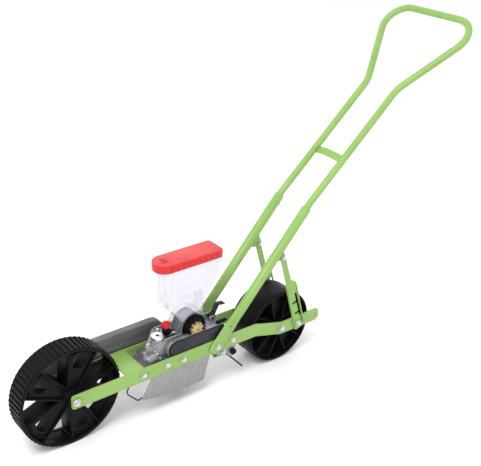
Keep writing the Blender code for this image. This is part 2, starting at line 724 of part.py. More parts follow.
def opener_shoe():
    """Furrow opener under the body, with its mounting plate."""
    shoe = flat("opener_shoe", rounded([(318, 122), (300, 70), (296, 16), (352, 12), (372, 40),
                                        (376, 122)], 4.0, 2), -7.0, 13.0)
    bevel = [block(280, 330, -22, -7 + 2, 0, 122), block(280, 330, 13 - 2, 28, 0, 122)]
    bevel[0].rotation_euler = (0.0, 0.0, -0.22)
    bevel[1].rotation_euler = (0.0, 0.0, 0.22)
    cut(shoe, *bevel)
    unite(shoe, block(286, 396, BODY_LEFT + 4, BODY_RIGHT - 4, 121, BODY_LOW - GAP))
    finish(shoe, "dark_steel")


def skirt_wire():
    """Bent wire stay between the left bar and the tip of the skirt."""
    y = -46.2
    path = smooth_path([(165, y, 136), (161, y, 118), (150, y, 105), (153, y, 92), (184, y, 60),
                        (197, y, 64)], 5.0, 3)
    finish(rod("skirt_wire", path, 1.8), "galvanised")


def tine_parts():
    """Brackets under the bars, their tie rod and the trailing tine."""
    pivot = (462.0, 110.0)
    rod_at = (434.0, 110.0)
    outline = rounded([(476, 152), (506, 152), (508, 122), (500, 84), (486, 84), (474, 98), (430, 99),
                       (424, 112), (440, 120), (470, 124)], 5.0, 2)
    holes = [circle((TINE_BOLT_X, AXLE_Z), 3.5, 10), circle((491, 100), 5, 12), circle(rod_at, 4.8, 12),
             circle(pivot, 3.4, 10)]
    left = flat("left_tine_bracket", outline, -49.7, -46.7, holes)
    finish(left, "galvanised")
    finish(mirrored(left, "right_tine_bracket"), "galvanised")
    tie = cross_cylinder(*rod_at, 4.5, -54.0, 54.0, 12, "bracket_tie_rod")
    finish(tie, "dark_steel")
    finish(hex_bolt("tine_bolt", *pivot, -1, 9.9, 6.5, face=49.7), "zinc", 30.0)
    y = -43.4
    tine = rod("tine", smooth_path([(pivot[0] + 4, y, pivot[1] - 5), (pivot[0] + 40, y, 68),
                                    (pivot[0] + 77, y, 27)], 80.0, 3), 2.4, 2,
               (pivot[0], y, pivot[1]))
    eye = flat("eye", circle(pivot, 9.0), y - 3, y + 3, [circle(pivot, 3.5, 10)])
    finish(unite(tine, eye), "dark_steel")


# ---------------------------------------------------------------- handle

def flattened_tube(name, stations, length):
    """Tube along +Z whose foot is pressed flat: (height, half width, half thickness)."""
    bm = bmesh.new()
    low, wide, thin = stations[0]
    bmesh.ops.create_circle(bm, cap_ends=True, radius=1.0, segments=20)
    bmesh.ops.scale(bm, vec=vec(wide, thin, 1.0), verts=bm.verts)
    bmesh.ops.translate(bm, vec=vec(0.0, 0.0, low), verts=bm.verts)
    top = bm.faces[:]
    for (z0, w0, t0), (z1, w1, t1) in zip(stations, stations[1:] + [(length, *stations[-1][1:])]):
        grown = bmesh.ops.extrude_face_region(bm, geom=top)
        if z0 > low:
            bmesh.ops.delete(bm, geom=top, context="FACES_ONLY")
        verts = [item for item in grown["geom"] if isinstance(item, bmesh.types.BMVert)]
        bmesh.ops.scale(bm, vec=(w1 / w0, t1 / t0, 1.0), verts=verts)
        bmesh.ops.translate(bm, vec=vec(0.0, 0.0, z1 - z0), verts=verts)
        top = [item for item in grown["geom"] if isinstance(item, bmesh.types.BMFace)]
    bmesh.ops.recalc_face_normals(bm, faces=bm.faces)
    return from_bmesh(name, bm)


def lower_tubes():
    run = Vector(MOUTH) - Vector(PIVOT)
    tilt = math.atan2(run.x, run.y)
    radius = LOWER_OD / 2
    stations = [(-23, 11, 3), (-17, 18, 3), (-8, 21, 3), (66, 21, 3), (90, 18, 7), (118, 14.6, 12),
                (136, radius, radius)]
    tube = flattened_tube("left_lower_tube", stations, run.length)
    tube.rotation_euler = (0.0, tilt, 0.0)
    tube.location = vec(PIVOT[0], -TUBE_Y, PIVOT[1])
    drop = Vector(STRUT_TOP) - Vector(PIVOT)
    along = drop.dot(run.normalized())
    foot = Vector(PIVOT) + run.normalized() * along
    tab = flat("tab", rounded([tuple(foot + run.normalized() * 26), tuple(Vector(STRUT_TOP)
               + run.normalized() * 11), tuple(Vector(STRUT_TOP) - run.normalized() * 11),
               tuple(foot - run.normalized() * 26)], 8.0, 3), -BAR_OUT + 0.5, -BAR_OUT + 4.5)
    side = Vector((run.y, -run.x)).normalized()
    bore = upright_cylinder(0, 0, LOWER_BORE, 0, BORE_DEPTH + 5, 20)
    shifted = Matrix.Translation(vec(PIVOT[0], -TUBE_Y, PIVOT[1])) @ Matrix.Rotation(tilt, 4, "Y")
    bore.matrix_world = shifted @ Matrix.Translation(vec(0, 0, run.length - (BORE_DEPTH - 5) / 2))
    clamp = Vector(MOUTH) - run.normalized() * 22 + side * 14
    drill = upright_cylinder(0, 0, 2.8, -12, 12, 10)
    drill.matrix_world = Matrix.Translation(vec(clamp.x, -TUBE_Y, clamp.y)) @ Matrix.Rotation(
        tilt + math.pi / 2, 4, "Y")
    spare = Vector(PIVOT) + run.normalized() * 68
    unite(tube, tab)
    cut(tube, bore, cross_cylinder(*PIVOT, 4.4, -70, -45, 12), cross_cylinder(*STRUT_TOP, 3.4, -70, -45, 10),
        drill, cross_cylinder(*spare, 3.5, -80, -40, 10))
    finish(tube, "green_paint")
    finish(mirrored(tube, "right_lower_tube"), "green_paint")
    for label, turn_side in sides():
        screw = turned(label + "_clamp_screw", [(0, 7), (5, 7), (5, 2.2), (2.5, 2.2), (2.5, -2.4), (0, -2.4)],
                       (clamp.x, turn_side * TUBE_Y, clamp.y), (0.0, tilt + math.pi / 2, 0.0), 8)
        finish(screw, "zinc", 20.0)


def handle_point(along, y):
    return (MOUTH[0] + along * math.cos(UPPER_ANGLE), y, MOUTH[1] + along * math.sin(UPPER_ANGLE))


def upper_handle():
    run = (Vector(MOUTH) - Vector(PIVOT)).normalized()
    start = Vector(MOUTH) - run * 118
    bend = Vector(MOUTH) + run * 14
    path = [(start.x, -TUBE_Y, start.y), (bend.x, -TUBE_Y, bend.y, 60),
            (*handle_point(STRAIGHT, -TUBE_Y), 90), (*handle_point(STRAIGHT + FLARE, -CORNER_HALF), CORNER_R),
            (*handle_point(STRAIGHT + FLARE, CORNER_HALF), CORNER_R), (*handle_point(STRAIGHT, TUBE_Y), 90),
            (bend.x, TUBE_Y, bend.y, 60), (start.x, TUBE_Y, start.y)]
    loop = rod("handle_loop", smooth_path(path, 60.0, 8), UPPER_R, 3, wall=UPPER_WALL)
    finish(loop, "green_paint")


def cross_brace():
    """Bowed flat strip between the upper tubes."""
    place = 172.0
    half = TUBE_Y - UPPER_R - GAP
    bow = 9.0
    count = 8
    upper = []
    lower = []
    for k in range(count + 1):
        y = half * (2 * k / count - 1)
        rise = bow * (1 - (y / half) ** 2)
        upper.append((y, rise + 1.5))
        lower.append((y, rise - 1.5))
    strip = flat("cross_brace", upper + lower[::-1], -11.0, 11.0)
    along = Vector((math.cos(UPPER_ANGLE), 0.0, math.sin(UPPER_ANGLE)))
    normal = Vector((-math.sin(UPPER_ANGLE), 0.0, math.cos(UPPER_ANGLE)))
    frame = Matrix((Vector((0, 1, 0)), normal, along)).transposed().to_4x4()
    strip.matrix_world = Matrix.Translation(vec(*handle_point(place, 0.0))) @ frame
    finish(strip, "green_paint")


def struts():
    """Notched height struts between the lower tubes and the ends of the bars."""
    top = Vector(STRUT_TOP)
    run = (Vector(STRUT_FOOT) - top).normalized()
    side = Vector((-run.y, run.x))
    length = (Vector(STRUT_FOOT) - top).length

    def at(along, across, *size):
        point = top + run * along + side * across
        return (point.x, point.y, *size)

    outline = rounded([at(-11, -9, 8), at(-11, 9, 8), at(88, 9, 12), at(106, 25, 6), at(length + 20, 21, 8),
                       at(length + 20, -17, 8), at(106, -13, 10), at(92, -9, 10)], 8.0, 3)
    slot = rounded([at(141, 11), at(141, 19), at(length + 5, 19), at(length + 5, 11), at(218, 11, 0.5),
                    at(218, -4), at(210, -4), at(210, 11, 0.5), at(178, 11, 0.5), at(178, -4), at(170, -4),
                    at(170, 11, 0.5)], 3.5, 2)
    holes = [circle(STRUT_TOP, 3.4, 10), circle(STRUT_FOOT, 4.2, 12), slot]
    outer = -BAR_OUT - GAP
    left = flat("left_strut", outline, outer - 3, outer, holes, STRUT_TOP)
    ribs = []
    for across, start, inward in ((25, 112, 1), (-13, 112, -1)):
        corners = [at(start, across - inward), at(start, across - 3 * inward),
                   at(length + 10, across - 4 - 3 * inward), at(length + 10, across - 4 - inward)]
        ribs.append(flat("rib", corners, outer - 7, outer - 1))
    finish(unite(left, *ribs), "green_paint")
    finish(mirrored(left, "right_strut"), "green_paint")
    for label, turn_side in sides():
        hex_bolt(label + "_strut_top_bolt", *STRUT_TOP, turn_side, 8.4, 6.5, face=BAR_OUT + 3 + GAP)
        low = turned(label + "_strut_bolt", [(0, 7), (7.5, 7), (7.5, 2), (10, 2), (10, 0), (4, 0),
                                             (4, -3.2), (0, -3.2)],
                     (STRUT_FOOT[0], turn_side * (BAR_OUT + 3 + 2 * GAP), STRUT_FOOT[1]),
                     (-turn_side * math.pi / 2, 0.0, 0.0), 12)
        finish(low, "zinc", 20.0)
        hex_bolt(label + "_pivot_bolt", *PIVOT, turn_side, 10.9, 8.0, 4.0, face=TUBE_Y + 3)


def gather_parts():
    """Put every piece in the seeder's collection and under the machine empty."""
    parts = bpy.data.collections.new("push_seeder")
    bpy.context.scene.collection.children.link(parts)
    machine = bpy.data.objects.new("machine", None)
    parts.objects.link(machine)
    for obj in list(bpy.context.scene.collection.objects):
        bpy.context.scene.collection.objects.unlink(obj)
        parts.objects.link(obj)
        obj.parent = machine
    machine.location = vec(MACHINE_X, 0.0, 0.0)


def build():
    clear_scene()
    make_materials()
    frame_bars()
    frame_bolts()
    scraper_plate()
    front_wheel()
    rear_wheel()
    drive_train()
    chain_case()
    chain_guard()
    seeder_body()
    clamp_nut()
    gate_knob()
    seed_roller()
    roller_housing()
    hopper()
    latches()
    skirts()
    opener_shoe()
    skirt_wire()
    tine_parts()
    lower_tubes()
    upper_handle()
    cross_brace()
    struts()
    gather_parts()


build()
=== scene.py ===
# One-row push seeder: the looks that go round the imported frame.
# Lengths in the dictionaries are millimetres unless a note says otherwise.
import math
import random

import bmesh
import bpy
from mathutils import Matrix, Vector


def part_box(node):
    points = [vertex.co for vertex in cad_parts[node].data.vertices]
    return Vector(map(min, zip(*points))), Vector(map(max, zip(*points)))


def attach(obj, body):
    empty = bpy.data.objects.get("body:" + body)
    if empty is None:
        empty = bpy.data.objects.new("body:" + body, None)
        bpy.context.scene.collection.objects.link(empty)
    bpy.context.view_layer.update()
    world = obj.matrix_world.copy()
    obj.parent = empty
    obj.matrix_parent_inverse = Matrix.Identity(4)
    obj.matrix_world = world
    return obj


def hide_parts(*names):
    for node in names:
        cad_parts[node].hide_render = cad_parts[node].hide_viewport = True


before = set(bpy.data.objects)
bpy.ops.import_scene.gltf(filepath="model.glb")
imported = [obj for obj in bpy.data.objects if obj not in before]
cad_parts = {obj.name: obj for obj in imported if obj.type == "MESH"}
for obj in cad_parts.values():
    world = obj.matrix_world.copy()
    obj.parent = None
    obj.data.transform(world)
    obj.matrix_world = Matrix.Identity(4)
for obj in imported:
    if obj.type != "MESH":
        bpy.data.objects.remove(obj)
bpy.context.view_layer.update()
mm = 0.001
dice = random.Random(7)
print("frame loaded:", len(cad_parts), "nodes")


# places

def boxOf(node):
    low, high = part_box(node)
    return Vector(low), Vector(high)


def middleOf(node):
    low, high = boxOf(node)
    return (low + high) / 2


axleX = middleOf("front_wheel").x  # every machine length runs back from the front axle


def spot(x, y, z):
    return Vector((axleX + x * mm, y * mm, z * mm))


def shift(at, x, y, z):
    return at + Vector((x * mm, y * mm, z * mm))


def slope(run):
    # the turn that lays a block along a run in the machine's side view
    return -math.degrees(math.atan2(run.y, run.x))


def bothSides(profile):
    # a profile of (radius, distance) joined to its own mirror image
    return profile + [(r, -y) for r, y in reversed(profile)][1:-1]


def polar(radius, degrees):
    angle = math.radians(degrees)
    return radius * math.cos(angle), radius * math.sin(angle)


# shader maths

class Value:
    # a socket that can be used in plain arithmetic
    def __init__(self, shader, socket):
        self.shader = shader
        self.socket = socket

    def maths(self, operation, first, second):
        return self.shader.node("Math", {"operation": operation}, {0: first, 1: second})

    def __add__(self, other):
        return self.maths("ADD", self, other)

    def __sub__(self, other):
        return self.maths("SUBTRACT", self, other)

    def __rsub__(self, other):
        return self.maths("SUBTRACT", other, self)

    def __mul__(self, other):
        return self.maths("MULTIPLY", self, other)

    __radd__ = __add__
    __rmul__ = __mul__


class Shader:
    def __init__(self, name, **constants):
        self.mat = bpy.data.materials.new(name)
        self.mat.use_nodes = True
        self.tree = self.mat.node_tree
        self.surface = self.tree.nodes["Principled BSDF"]
        self.place = self.node("TexCoord", output="Object")
        for key, value in constants.items():
            self.surface.inputs[key.replace("_", " ")].default_value = value

    def node(self, kind, settings=None, values=None, output=0):
        made = self.tree.nodes.new("ShaderNode" + kind)
        for key, value in (settings or {}).items():
            if key == "stops":
                self.setRamp(made.color_ramp, value)
            else:
                setattr(made, key, value)
        for key, value in (values or {}).items():
            self.feed(made.inputs[key], value)
        return Value(self, made.outputs[output])

    def setRamp(self, ramp, stops):
        while len(ramp.elements) > len(stops):
            ramp.elements.remove(ramp.elements[-1])
        while len(ramp.elements) < len(stops):
            ramp.elements.new(0.5)
        for element, (position, colour) in zip(ramp.elements, stops):
            element.position = position
            element.color = (*colour, 1.0) if len(colour) == 3 else (colour[0],) * 3 + (1.0,)

    def feed(self, socket, value):
        if isinstance(value, Value):
            self.tree.links.new(value.socket, socket)
        else:
            socket.default_value = value

    def noise(self, scale, detail=3.0, roughness=0.55, where=None):
        return self.node("TexNoise", None, {"Vector": where or self.place, "Scale": scale, "Detail": detail,
                                            "Roughness": roughness}, "Fac")

    def cells(self, scale):
        return self.node("TexVoronoi", {"feature": "F1"}, {"Vector": self.place, "Scale": scale}, "Distance")

    def step(self, value, low, high, start=0.0, end=1.0):
        # value between low and high becomes a number between start and end
        return self.node("MapRange", {"clamp": True}, {"Value": value, "From Min": low, "From Max": high,
                                                       "To Min": start, "To Max": end})

    def blend(self, share, first, second):
        colours = [(*c, 1.0) if isinstance(c, tuple) else c for c in (first, second)]
        return self.node("Mix", {"data_type": "RGBA"}, {0: share, 6: colours[0], 7: colours[1]}, 2)

    def height(self):
        return self.node("SeparateXYZ", None, {"Vector": self.place}, "Z")

    def finish(self, colour=None, roughness=None, metallic=None, bump=None, depth=0.0002, strength=1.0, alpha=None):
        for name, value in (("Base Color", colour), ("Roughness", roughness), ("Metallic", metallic),
                            ("Alpha", alpha)):
            if value is not None:
                self.feed(self.surface.inputs[name], value)
        if bump is not None:
            normal = self.node("Bump", None, {"Strength": strength, "Distance": depth, "Height": bump}, "Normal")
            self.feed(self.surface.inputs["Normal"], normal)
        return self.mat


# finishes

def greenPaint():
    look = {"light": (0.265, 0.445, 0.115), "deep": (0.215, 0.395, 0.088), "worn": (0.36, 0.50, 0.22)}
    s = Shader("greenPaint", Coat_Weight=0.12, Coat_Roughness=0.2, Specular_IOR_Level=0.3)
    patches = s.noise(9.0, 3.0)
    peel = s.noise(900.0, 2.0)
    colour = s.blend(s.step(patches, 0.35, 0.7), look["light"], look["deep"])
    scuffs = s.step(s.noise(160.0, 5.0, 0.7), 0.66, 0.74) * s.step(patches, 0.45, 0.6)
    colour = s.blend(scuffs * 0.6, colour, look["worn"])
    low = s.step(s.height(), 0.22, 0.05, 0.0, 0.22) * s.step(s.noise(40.0, 4.0), 0.4, 0.7)
    colour = s.blend(low, colour, (0.30, 0.27, 0.16))
    rough = s.step(s.noise(55.0, 4.0), 0.3, 0.75, 0.26, 0.42) + scuffs * 0.2 + low
    return s.finish(colour, rough, None, peel * 0.5 + patches * 0.4 - scuffs * 0.4, 0.00016, 0.5)


def blackPlastic():
    s = Shader("blackPlastic", Specular_IOR_Level=0.10)
    grain = s.noise(1500.0, 2.0)
    cloud = s.noise(22.0, 4.0)
    dust = s.step(s.height(), 0.2, 0.0, 0.0, 0.35) * s.step(s.noise(70.0, 5.0, 0.65), 0.45, 0.75)
    colour = s.blend(s.step(cloud, 0.3, 0.7), (0.0035, 0.0035, 0.004), (0.0065, 0.0065, 0.0075))
    colour = s.blend(dust * 0.2, colour, (0.08, 0.072, 0.06))
    rough = s.step(cloud, 0.3, 0.7, 0.34, 0.5) + dust * 0.4
    return s.finish(colour, rough, None, grain + cloud * 0.5, 0.00018, 0.5)


def castAluminium():
    s = Shader("castAluminium", Specular_IOR_Level=0.35)
    grit = s.noise(1100.0, 4.0, 0.7)
    flow = s.noise(35.0, 4.0, 0.6)
    pits = s.step(s.cells(520.0), 0.12, 0.3)
    colour = s.blend(s.step(flow, 0.3, 0.7), (0.20, 0.20, 0.215), (0.40, 0.40, 0.42))
    colour = s.blend((1 - pits) * 0.45, colour, (0.07, 0.07, 0.075))
    grime = s.step(s.noise(80.0, 5.0, 0.7), 0.56, 0.72) * 0.35
    colour = s.blend(grime, colour, (0.06, 0.06, 0.06))
    rough = s.step(flow, 0.3, 0.7, 0.36, 0.56) + grime * 0.4
    return s.finish(colour, rough, 0.72, grit * 0.7 + pits * 0.5 + flow, 0.00035, 0.7)


def mouldedGrey(name, light, deep):
    s = Shader(name, Specular_IOR_Level=0.3)
    cloud = s.noise(18.0, 3.0)
    grain = s.noise(1300.0, 2.0)
    colour = s.blend(s.step(cloud, 0.3, 0.7), light, deep)
    scratch = s.step(s.noise(260.0, 6.0, 0.8), 0.68, 0.74)
    colour = s.blend(scratch * 0.4, colour, tuple(min(1.0, c * 1.8) for c in light))
    return s.finish(colour, s.step(cloud, 0.3, 0.7, 0.38, 0.52) + scratch * 0.15, None, grain + scratch * 0.4,
                    0.00016, 0.5)


def zincPlate():
    s = Shader("zincPlate", Metallic=1.0)
    film = s.noise(120.0, 3.0)
    spots = s.step(s.noise(700.0, 4.0, 0.7), 0.6, 0.75)
    colour = s.blend(s.step(film, 0.35, 0.65), (0.66, 0.67, 0.70), (0.56, 0.56, 0.55))
    colour = s.blend(spots * 0.5, colour, (0.26, 0.26, 0.26))
    return s.finish(colour, s.step(film, 0.3, 0.7, 0.2, 0.34) + spots * 0.2, None, s.noise(1600.0, 2.0), 0.00008, 0.4)


def galvanised():
    s = Shader("galvanisedSheet", Metallic=0.6, Specular_IOR_Level=0.3)
    spangle = s.node("TexVoronoi", None, {"Vector": s.place, "Scale": 95.0, "Randomness": 1.0}, "Color")
    shade = s.node("RGBToBW", None, {0: spangle})
    streak = s.node("Mapping", None, {"Vector": s.place, "Scale": (1.0, 1.0, 0.12)})
    runs = s.noise(240.0, 4.0, 0.6, streak)
    mixed = s.step(shade, 0.2, 0.8, 0.0, 0.5) + s.step(runs, 0.35, 0.65, 0.0, 0.5)
    colour = s.blend(mixed, (0.27, 0.265, 0.275), (0.37, 0.365, 0.375))
    dirt = s.step(s.height(), 0.11, 0.03, 0.0, 0.5) * s.step(s.noise(60.0, 5.0), 0.42, 0.65)
    colour = s.blend(dirt, colour, (0.30, 0.27, 0.23))
    rough = s.step(shade, 0.2, 0.8, 0.30, 0.44) + s.step(runs, 0.4, 0.7, 0.0, 0.08) + dirt * 0.4
    return s.finish(colour, rough, None, shade * 0.2 + runs * 0.5, 0.00012, 0.5)


def darkSteel():
    s = Shader("oiledSteel", Metallic=0.9)
    cloud = s.noise(90.0, 5.0, 0.65)
    rust = s.step(s.noise(380.0, 5.0, 0.75), 0.62, 0.74)
    colour = s.blend(s.step(cloud, 0.3, 0.7), (0.020, 0.020, 0.023), (0.055, 0.055, 0.060))
    colour = s.blend(rust * 0.35, colour, (0.10, 0.05, 0.03))
    return s.finish(colour, s.step(cloud, 0.3, 0.7, 0.28, 0.5) + rust * 0.25, None, cloud + rust * 0.4, 0.00018, 0.5)


def starBrass():
    s = Shader("starBrass", Metallic=0.65)
    cloud = s.noise(150.0, 4.0, 0.6)
    colour = s.blend(s.step(cloud, 0.3, 0.7), (0.60, 0.44, 0.22), (0.40, 0.28, 0.13))
    return s.finish(colour, s.step(cloud, 0.3, 0.7, 0.3, 0.48), None, s.noise(1400.0, 3.0) + cloud * 0.5, 0.00018, 0.5)


def clearPlastic(name="clearPlastic", alpha=0.26, tint=1.0):
    s = Shader(name, Specular_IOR_Level=0.7, Coat_Weight=0.6, Coat_Roughness=0.03)
    haze = s.noise(16.0, 3.0)
    specks = s.step(s.noise(420.0, 4.0, 0.75), 0.67, 0.74)
    colour = s.blend(s.step(haze, 0.3, 0.7), (0.70 * tint, 0.68 * tint, 0.80 * tint),
                     (0.78 * tint, 0.76 * tint, 0.86 * tint))
    clear = s.step(haze, 0.3, 0.7, alpha * 0.8, alpha * 1.2) + specks * 0.12
    return s.finish(colour, s.step(haze, 0.3, 0.7, 0.06, 0.14) + specks * 0.2, None, haze + specks * 0.1, 0.0004, 0.25,
                    clear)


def redPlastic():
    s = Shader("redPlastic", Specular_IOR_Level=0.35, Coat_Weight=0.1, Coat_Roughness=0.12)
    cloud = s.noise(14.0, 3.0)
    grain = s.noise(1400.0, 2.0)
    colour = s.blend(s.step(cloud, 0.3, 0.7), (0.66, 0.018, 0.018), (0.56, 0.010, 0.013))
    marks = s.step(s.noise(220.0, 6.0, 0.8), 0.68, 0.75)
    colour = s.blend(marks * 0.35, colour, (0.85, 0.18, 0.16))
    return s.finish(colour, s.step(cloud, 0.3, 0.7, 0.26, 0.38) + marks * 0.2, None, grain + marks * 0.3, 0.00014, 0.45)


finishes = {
    "green_paint": greenPaint(),
    "black_plastic": blackPlastic(),
    "cast_aluminium": castAluminium(),
    "slate_plastic": mouldedGrey("slatePlastic", (0.026, 0.029, 0.033), (0.017, 0.019, 0.022)),
    "guard_plastic": mouldedGrey("guardPlastic", (0.15, 0.152, 0.162), (0.105, 0.107, 0.115)),
    "zinc": zincPlate(),
    "galvanised": galvanised(),
    "dark_steel": darkSteel(),
    "brass": starBrass(),
    "clear_plastic": clearPlastic(),
    "clear_dome": clearPlastic("clearDome", 0.17, 0.62),
    "red_plastic": redPlastic(),
}
print("finishes made:", len(finishes))


# shapes: each of these gives back a bmesh, and joined() puts several together

def joined(shapes):
    total = bmesh.new()
    scrap = bpy.data.meshes.new("scrap")
    for shape in shapes:
        shape.to_mesh(scrap)
        shape.free()
        total.from_mesh(scrap)
    bpy.data.meshes.remove(scrap)
    return total


def piece(name, shapes, slot, body, nodes=(), angle=32.0, finish=None):
    # one visible piece, with its place in its mesh
    bm = joined(shapes) if isinstance(shapes, (list, tuple)) else shapes
    mesh = bpy.data.meshes.new(name)
    bm.to_mesh(mesh)
    bm.free()
    mesh.materials.append(finish or finishes[slot])
    mesh.shade_smooth()
    mesh.set_sharp_from_angle(angle=math.radians(angle))
    obj = bpy.data.objects.new(name, mesh)
    bpy.context.scene.collection.objects.link(obj)
    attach(obj, body)
    for node in nodes:
        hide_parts(node)
    return obj


def bevelSharp(bm, width, segments=2, angle=30.0):
    limit = math.radians(angle)
    edges = [e for e in bm.edges if e.is_manifold and e.calc_face_angle(0.0) > limit]
    if edges and width > 0:
        bmesh.ops.bevel(bm, geom=edges, offset=width * mm, offset_type="OFFSET", segments=segments, profile=0.5,
                        affect="EDGES", clamp_overlap=True, material=-1)
    return bm


def mended(bm):
    bmesh.ops.remove_doubles(bm, verts=bm.verts, dist=0.00001)
    bmesh.ops.recalc_face_normals(bm, faces=bm.faces)
    return bm


def fromCad(node, width=0.5, segments=2, angle=30.0):
    # the node's own shape with its edges broken
    bm = bmesh.new()
    bm.from_mesh(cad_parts[node].data)
    bmesh.ops.remove_doubles(bm, verts=bm.verts, dist=0.00002)
    bmesh.ops.dissolve_limit(bm, angle_limit=math.radians(1.0), verts=bm.verts, edges=bm.edges)
    return bevelSharp(bm, width, segments, angle)


def block(size, at, turn=0.0, width=0.5, segments=2, axis="Y", taper=None):
    # a box with broken edges; turn is in degrees
    bm = bmesh.new()
    bmesh.ops.create_cube(bm, size=1.0)
    bmesh.ops.scale(bm, vec=Vector(size) * mm, verts=bm.verts)
    if taper:
        top = [v for v in bm.verts if v.co.z > 0]
        bmesh.ops.scale(bm, vec=(taper, taper, 1.0), verts=top)
    bevelSharp(bm, width, segments)
    bmesh.ops.rotate(bm, matrix=Matrix.Rotation(math.radians(turn), 3, axis), verts=bm.verts)
    bmesh.ops.translate(bm, vec=at, verts=bm.verts)
    return bm


def spun(profile, at, steps=48, closed=False, lie="Y"):
    # a profile of (radius, distance along the axis), turned all the way round
    bm = bmesh.new()
    verts = [bm.verts.new((radius * mm, along * mm, 0.0)) for radius, along in profile]
    ring = verts + verts[:1] if closed else verts
    edges = [bm.edges.new(pair) for pair in zip(ring, ring[1:])]
    bmesh.ops.spin(bm, geom=verts + edges, cent=(0, 0, 0), axis=(0, 1, 0), angle=math.tau, steps=steps,
                   use_merge=True, use_duplicate=False)
    mended(bm)
    if lie == "Z":
        bmesh.ops.rotate(bm, matrix=Matrix.Rotation(math.pi / 2, 3, "X"), verts=bm.verts)
    elif lie != "Y":
        bmesh.ops.rotate(bm, matrix=Vector((0, 1, 0)).rotation_difference(lie).to_matrix(), verts=bm.verts)
    bmesh.ops.translate(bm, vec=at, verts=bm.verts)
    return bm


def plate(outline, y0, y1, width=0.3, at=None, holes=()):
    # a flat plate from an outline of (x, z) points, with holes through it
    bm = bmesh.new()
    base = at or Vector((0, 0, 0))
    for loop in (outline, *holes):
        verts = [bm.verts.new(base + Vector((x * mm, y0 * mm, z * mm))) for x, z in loop]
        for a, b in zip(verts, verts[1:] + verts[:1]):
            bm.edges.new((a, b))
    if holes:
        bmesh.ops.triangle_fill(bm, use_beauty=True, use_dissolve=False, edges=bm.edges[:], normal=(0, 1, 0))
    else:
        bm.faces.new(bm.verts)
    grown = bmesh.ops.extrude_face_region(bm, geom=bm.faces[:])["geom"]
    moved = [g for g in grown if isinstance(g, bmesh.types.BMVert)]
    bmesh.ops.translate(bm, vec=(0, (y1 - y0) * mm, 0), verts=moved)
    mended(bm)
    return bevelSharp(bm, width, 2, 40.0)


def ringPoints(centre, radius, count=24, start=0.0, end=360.0):
    # points of (x, z) round a centre, its ends included unless it goes all the way round
    whole = end - start == 360.0
    steps = count if whole else count - 1
    return [(centre[0] + radius * math.cos(math.radians(start + (end - start) * k / steps)),
             centre[1] + radius * math.sin(math.radians(start + (end - start) * k / steps))) for k in range(count)]


def wireLoop(path, radius, sides=10):
    # a round bar that runs along a path and meets itself
    return swept(path + path[:2], radius, sides)


def framesAlong(path):
    # a turn for each point of a path, with as little twist as can be
    ways = []
    for i in range(len(path)):
        ahead = path[min(i + 1, len(path) - 1)] - path[max(i - 1, 0)]
        ways.append(ahead.normalized())
    turn = Vector((0, 0, 1)).rotation_difference(ways[0])
    turns = [turn]
    for before, after in zip(ways, ways[1:]):
        turn = before.rotation_difference(after) @ turn
        turns.append(turn)
    return turns


def skinned(places, sides):
    # a round skin through a list of placed and stretched unit circles, closed at both ends
    bm = bmesh.new()
    ring = bmesh.ops.create_circle(bm, radius=1.0, segments=sides)["verts"]
    edges = bm.edges[:]
    first = edges
    bmesh.ops.transform(bm, matrix=places[0], verts=ring)
    for last, here in zip(places, places[1:]):
        grown = bmesh.ops.extrude_edge_only(bm, edges=edges)["geom"]
        ring = [g for g in grown if isinstance(g, bmesh.types.BMVert)]
        edges = [g for g in grown if isinstance(g, bmesh.types.BMEdge) and all(v in ring for v in g.verts)]
        bmesh.ops.transform(bm, matrix=here @ last.inverted(), verts=ring)
    bmesh.ops.edgeloop_fill(bm, edges=first)
    bmesh.ops.edgeloop_fill(bm, edges=edges)
    return mended(bm)


def swept(path, radius, sides=20, sizes=None):
    # a round section along a path; sizes are (half width, half thickness) at each point
    sizes = sizes or [(radius, radius)] * len(path)
    return skinned([Matrix.Translation(point) @ turn.to_matrix().to_4x4() @ Matrix.Diagonal((wide * mm, thin * mm, mm, 1.0))
                    for point, turn, (wide, thin) in zip(path, framesAlong(path), sizes)], sides)


def rounded(points, radius, count=8):
    # a path with its corners rounded; a corner may carry its own radius
    path = [points[0][0] if isinstance(points[0], tuple) else points[0]]
    plain = [p[0] if isinstance(p, tuple) else p for p in points]
    for i in range(1, len(points) - 1):
        size = (points[i][1] if isinstance(points[i], tuple) else radius) * mm
        back = (plain[i - 1] - plain[i]).normalized()
        ahead = (plain[i + 1] - plain[i]).normalized()
        half = back.angle(ahead) / 2
        centre = plain[i] + (back + ahead).normalized() * size / math.sin(half)
        start = plain[i] + back * size / math.tan(half) - centre
        end = plain[i] + ahead * size / math.tan(half) - centre
        for k in range(count + 1):
            path.append(centre + start.slerp(end, k / count).normalized() * size)
    path.append(plain[-1])
    return path


def evenly(path, gap):
    # the same path with points no further apart than gap
    result = [path[0]]
    for a, b in zip(path, path[1:]):
        count = max(1, math.ceil((b - a).length / (gap * mm)))
        for k in range(1, count + 1):
            result.append(a.lerp(b, k / count))
    return result


# fasteners

